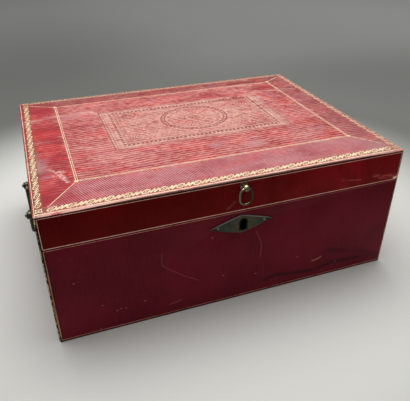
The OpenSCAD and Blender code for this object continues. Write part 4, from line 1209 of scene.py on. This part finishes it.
def top_skin():
    """The lid's top as one closed skin: a grid, finer under the stamped panel, with rolled edges."""
    panel_left, panel_right, panel_front, panel_back = edges_of("panel")
    x0, x1, y0, y1 = panel_left - 2, panel_right + 2, panel_front - 2, panel_back + 2
    inset, fine, coarse, sunk = 2.4, 0.62, 5.0, 0.15
    xs, ys = [
        np.unique(np.concatenate([spaced(-half + inset, low, coarse), spaced(low, high, fine),
                                  spaced(high, half - inset, coarse)]).round(4))
        for half, low, high in ((HALF_W, x0, x1), (HALF_D, y0, y1))]
    nx, ny = len(xs), len(ys)
    gx, gy = np.meshgrid(xs, ys)
    deep = np.where((gx > x0) & (gx < x1) & (gy > y0) & (gy < y1), stamped_panel(gx, gy), 0.0)
    gz = lid_surface(gx, gy) - deep * settings("tooling").press_depth / MM
    points = [np.stack([gx.ravel(), gy.ravel(), gz.ravel()], 1)]
    faces = [(r * nx + c, r * nx + c + 1, (r + 1) * nx + c + 1, (r + 1) * nx + c)
             for r in range(ny - 1) for c in range(nx - 1)]

    # The grid's rim once round, with each corner repeated for its arc
    arc = 7
    rim, outward = [], []
    sides = (([r * nx + nx - 1 for r in range(ny)], 0.0),
             ([(ny - 1) * nx + c for c in range(nx - 1, -1, -1)], math.pi / 2),
             ([r * nx for r in range(ny - 1, -1, -1)], math.pi),
             (list(range(nx)), 3 * math.pi / 2))
    for row, turn in sides:
        rim += row + [row[-1]] * (arc - 2)
        outward += [turn] * len(row) + [turn + k * math.pi / 2 / (arc - 1) for k in range(1, arc - 1)]
    rim, outward = np.array(rim), np.array(outward)
    start = points[0][rim]
    aside = np.stack([np.cos(outward), np.sin(outward)], 1)
    first, count = len(points[0]), len(rim)

    # Rings down the rolled edge, each with its inset and its drop, and one turned under it
    profile = ((1.5, 0.01), (0.95, 0.05), (0.55, 0.15), (0.28, 0.34), (0.12, 0.58), (0.10, 0.80))
    for out_inset, drop in profile:
        ring = start.copy()
        ring[:, :2] += aside * (inset - out_inset)
        ring[:, 2] -= drop
        points.append(ring)
    ring = points[-1].copy()
    ring[:, :2] -= aside * sunk
    ring[:, 2] = LIP_Z
    points.append(ring)
    for i in range(count):
        j = (i + 1) % count
        corner = () if rim[i] == rim[j] else (int(rim[j]),)
        faces.append((int(rim[i]), first + i, first + j, *corner))
    for k in range(len(profile)):
        a, b = first + k * count, first + (k + 1) * count
        faces += [(a + i, b + i, b + (i + 1) % count, a + (i + 1) % count) for i in range(count)]
    last = first + len(profile) * count
    faces.append(tuple(range(last + count - 1, last - 1, -1)))
    points = np.concatenate(points)
    mesh = made_mesh("lid_top_skin", points, faces, 60.0)
    kept = mesh.attributes.new("pressed", "FLOAT", "POINT")
    marks = np.zeros(len(points), np.float32)
    marks[:first] = deep.ravel()
    kept.data.foreach_set("value", marks)
    return mesh


def lay_floor(scene):
    """A wide round floor just under the box, its rings wider farther out."""
    reach, rings, spokes, level = 9000.0, 14, 48, -0.3
    points, faces = [(0.0, 0.0, level)], []
    for r in range(1, rings + 1):
        radius = reach * (r / rings) ** 1.6
        for s in range(spokes):
            a = 2 * math.pi * s / spokes
            points.append((radius * math.cos(a), radius * math.sin(a), level))
    for s in range(spokes):
        faces.append((0, 1 + s, 1 + (s + 1) % spokes))
        for r in range(rings - 1):
            a, b = 1 + r * spokes, 1 + (r + 1) * spokes
            faces.append((a + s, b + s, b + (s + 1) % spokes, a + (s + 1) % spokes))
    floor = bpy.data.objects.new("stage_floor", made_mesh("stage_floor", points, faces))
    floor.data.materials.append(stage_floor())
    scene.collection.objects.link(floor)


def hang_lamps(scene, power):
    """Two wide soft lamps over the box, aimed at its middle."""
    for name, x in (("left_lamp", -0.30), ("right_lamp", 0.30)):
        lamp = bpy.data.lights.new(name, "AREA")
        lamp.shape, lamp.size, lamp.energy = "SQUARE", 1.0, power
        holder = bpy.data.objects.new(name, lamp)
        holder.location = place = Vector((x, 0.24, 1.25))
        holder.rotation_euler = (Vector((0, 0, 0.08)) - place).to_track_quat("-Z", "Y").to_euler()
        scene.collection.objects.link(holder)


def surroundings(stage):
    """Light from all round, and a plain backdrop for what looks past the floor or is reflected."""
    world = bpy.data.worlds.new("surroundings")
    world.use_nodes = True
    world.node_tree.nodes.clear()
    w = Nodes(world.node_tree)
    seen_by, glossy, through = w.several(w.node("ShaderNodeLightPath"),
                                         ("Is Camera Ray", "Is Glossy Ray", "Is Transmission Ray"))
    lit = w.node("ShaderNodeBackground", sockets={"Color": (1.0, 1.0, 1.0), "Strength": stage.fill})
    backdrop = w.node("ShaderNodeBackground", sockets={"Color": stage.backdrop, "Strength": 1.0})
    chosen = w.node("ShaderNodeMixShader",
                    sockets={0: seen_by.most(glossy).most(through), 1: lit, 2: backdrop})
    w.node("ShaderNodeOutputWorld", sockets={"Surface": chosen})
    return world


def set_camera(scene, stage):
    """The photograph's view of the box, from the place in metres that its perspective gave."""
    lens = bpy.data.cameras.new("view")
    lens.lens, lens.sensor_width = stage.lens, 36.0
    lens.clip_start, lens.clip_end = 0.01, 50.0
    camera = bpy.data.objects.new("view", lens)
    back = Vector((math.sin(stage.azimuth) * math.cos(stage.elevation),
                   -math.cos(stage.azimuth) * math.cos(stage.elevation),
                   math.sin(stage.elevation)))
    camera.location = -0.1806, -0.5362, 0.3928
    camera.rotation_mode = "QUATERNION"
    camera.rotation_quaternion = (-back).to_track_quat("-Z", "Y")
    scene.collection.objects.link(camera)
    scene.camera = camera


class LEATHERBOX_OT_stage(bpy.types.Operator):
    """Lays the pale floor and sets the lamps, the surroundings and the camera"""

    bl_idname = "leather_box.stage"
    bl_label = "Set the stage"

    def execute(self, context):
        stage, scene = settings("stage"), context.scene
        lay_floor(scene)
        hang_lamps(scene, stage.lamp_power)
        scene.world = surroundings(stage)
        set_camera(scene, stage)
        scene.view_settings.view_transform = "Standard"
        return {"FINISHED"}


class LEATHERBOX_OT_lid_top(bpy.types.Operator):
    """Covers the lid's top in rubbed leather with its blind-stamped panel"""

    bl_idname = "leather_box.lid_top"
    bl_label = "Cover the lid's top"

    def execute(self, context):
        add_piece("lid_top_skin", top_skin(), "lid", top_leather(), ("lid_top_leather",))
        return {"FINISHED"}


class LEATHERBOX_OT_top_tooling(bpy.types.Operator):
    """Lays the gilt roll, its fillets, the rectangle and the mitre lines on the lid's top"""

    bl_idname = "leather_box.top_tooling"
    bl_label = "Gild the lid's top"

    def execute(self, context):
        tool, dye = settings("tooling"), settings("leather")
        bright = gilt("gilt_top", tool.gilt, dye.gilt_ground, 0.56, 0.62)
        fine = gilt("gilt_fine", tool.gilt, dye.top_bloom_and_sheen, 0.53)
        for name, draw, finish in (("border_roll", border_roll, bright),
                                   ("gilt_rectangle", gilt_rectangle, fine)):
            inlay = Inlay("top", 0.09, 0.12)
            draw(inlay)
            add_piece(name, inlay.mesh(name), "lid", finish)
        return {"FINISHED"}


class LEATHERBOX_OT_sides(bpy.types.Operator):
    """Covers the lid's sides and the base, with softened edges"""

    bl_idname = "leather_box.sides"
    bl_label = "Cover the sides"

    def execute(self, context):
        dye = settings("leather")
        softened("lid_side_leather", 0.45, side_leather("lid_side_leather_finish", dye.lid_red, True, 0.06))
        softened("base_leather", 0.45, side_leather("base_leather_finish", dye.base_red, False, 0.12))
        return {"FINISHED"}


class LEATHERBOX_OT_side_tooling(bpy.types.Operator):
    """Draws the gilt lines along the edges of the lid's sides and of the base"""

    bl_idname = "leather_box.side_tooling"
    bl_label = "Gild the sides"

    def execute(self, context):
        tool, dye = settings("tooling"), settings("leather")
        dull = gilt("gilt_sides", tool.gilt_dull, dye.base_red, 0.5, fading=0.8)
        seam = gilt("gilt_seam", tool.gilt_seam, dye.lid_red, 0.57)
        inset = tool.side_inset / MM
        for wall, half in zip(SIDES, (HALF_W, HALF_D, HALF_W, HALF_D)):
            # Behind, the lines at the seam stay clear of its bevels
            rear = 4.4 if wall == "back" else 0.95
            lid = wall_lines(wall, half, LID_RIM_Z, LIP_Z, inset, (rear, 1.5))
            add_piece("lid_lines_" + wall, lid.mesh("lid_lines_" + wall), "lid", seam)
            base = wall_lines(wall, half, 0.0, BASE_RIM_Z, inset, (2.6, rear))
            add_piece("base_lines_" + wall, base.mesh("base_lines_" + wall), "base", dull)
        return {"FINISHED"}


class LEATHERBOX_OT_linings(bpy.types.Operator):
    """Gives the inside its silk and the underside its cloth"""

    bl_idname = "leather_box.linings"
    bl_label = "Line the box"

    def execute(self, context):
        give_finish(lining_silk(), "base_wall_lining", "base_floor_lining", "lid_wall_lining",
                    "lid_top_lining")
        give_finish(underside_cloth(), "underside_cover")
        return {"FINISHED"}


class LEATHERBOX_OT_carcass(bpy.types.Operator):
    """Gives the boards their wood and the nails their iron"""

    bl_idname = "leather_box.carcass"
    bl_label = "Finish the carcass"

    def execute(self, context):
        lengthwise, crosswise = carcass_wood("carcass_wood_long", 0), carcass_wood("carcass_wood_short", 1)
        give_finish(lengthwise, "base_front_board", "base_back_board", "base_bottom_board",
                    "lid_front_board", "lid_back_board", "lid_top_board")
        give_finish(crosswise, "base_left_board", "base_right_board", "lid_left_board", "lid_right_board")
        give_finish(dark_iron(), "base_nails", "lid_nails", "hinge_left_pin", "hinge_right_pin",
                    "lock_bolt", "lock_bolt_spring", "lock_key_pin", "lock_case",
                    "left_handle_nuts", "right_handle_nuts")
        return {"FINISHED"}


class LEATHERBOX_OT_lock_and_hinges(bpy.types.Operator):
    """Finishes the lock, the strike plate, the hinges and their screws"""

    bl_idname = "leather_box.lock_and_hinges"
    bl_label = "Finish the lock and hinges"

    def execute(self, context):
        brass = inner_brass()
        for node in ("lock_plate", "strike_plate"):
            softened(node, 0.22, brass)
        give_finish(brass, "hinge_left_base_leaf", "hinge_left_lid_leaf", "hinge_right_base_leaf",
                    "hinge_right_lid_leaf", "hinge_base_screws", "hinge_lid_screws",
                    "lock_screws", "strike_screws", "left_handle_washers", "right_handle_washers")
        return {"FINISHED"}


class LEATHERBOX_OT_front_fittings(bpy.types.Operator):
    """Makes the escutcheon and finishes its pins, the ring post and the ring"""

    bl_idname = "leather_box.front_fittings"
    bl_label = "Fit the escutcheon and the ring"

    def execute(self, context):
        handled = old_brass("old_brass_handled", 0.9, 0.16)
        softened("escutcheon", 0.6, plate_brass())
        give_finish(handled, "escutcheon_pins", "ring_post", "pull_ring")
        return {"FINISHED"}


class LEATHERBOX_OT_handles(bpy.types.Operator):
    """Finishes the posts and the bails of the side handles"""

    bl_idname = "leather_box.handles"
    bl_label = "Fit the handles"

    def execute(self, context):
        dark = old_brass("old_brass_handles", 0.25, 0.05)
        give_finish(dark, "left_handle_posts", "right_handle_posts", "left_handle_bail",
                    "right_handle_bail")
        return {"FINISHED"}


OPERATORS = (LEATHERBOX_OT_stage, LEATHERBOX_OT_lid_top, LEATHERBOX_OT_top_tooling,
             LEATHERBOX_OT_sides, LEATHERBOX_OT_side_tooling, LEATHERBOX_OT_linings,
             LEATHERBOX_OT_carcass, LEATHERBOX_OT_lock_and_hinges, LEATHERBOX_OT_front_fittings,
             LEATHERBOX_OT_handles)
GROUPS = {"leather": LeatherColours, "tooling": Tooling, "fittings": FittingColours,
          "cloth": ClothColours, "stage": StageSettings}


class LEATHERBOX_PT_panel(bpy.types.Panel):
    """Sizes, colours and steps of the leather box"""

    bl_label = "Leather box"
    bl_idname = "LEATHERBOX_PT_panel"
    bl_space_type = "VIEW_3D"
    bl_region_type = "UI"
    bl_category = "Leather box"

    def draw(self, context):
        for operator in OPERATORS:
            self.layout.operator(operator.bl_idname)
        for name, group in GROUPS.items():
            box = self.layout.box()
            for prop in group.__annotations__:
                box.prop(settings(name), prop)


def register():
    for group in GROUPS.values():
        bpy.utils.register_class(group)
    for name, group in GROUPS.items():
        setattr(bpy.types.Scene, "leather_box_" + name, bpy.props.PointerProperty(type=group))
    for operator in OPERATORS:
        bpy.utils.register_class(operator)
    bpy.utils.register_class(LEATHERBOX_PT_panel)


def unregister():
    bpy.utils.unregister_class(LEATHERBOX_PT_panel)
    for operator in reversed(OPERATORS):
        bpy.utils.unregister_class(operator)
    for name, group in GROUPS.items():
        delattr(bpy.types.Scene, "leather_box_" + name)
        bpy.utils.unregister_class(group)


def corners(box):
    return [list(map(float, corner)) for corner in box]


def main():
    register()
    for operator in OPERATORS:
        group, name = operator.bl_idname.split(".")
        getattr(getattr(bpy.ops, group), name)()


if __name__ == "__main__":
    main()
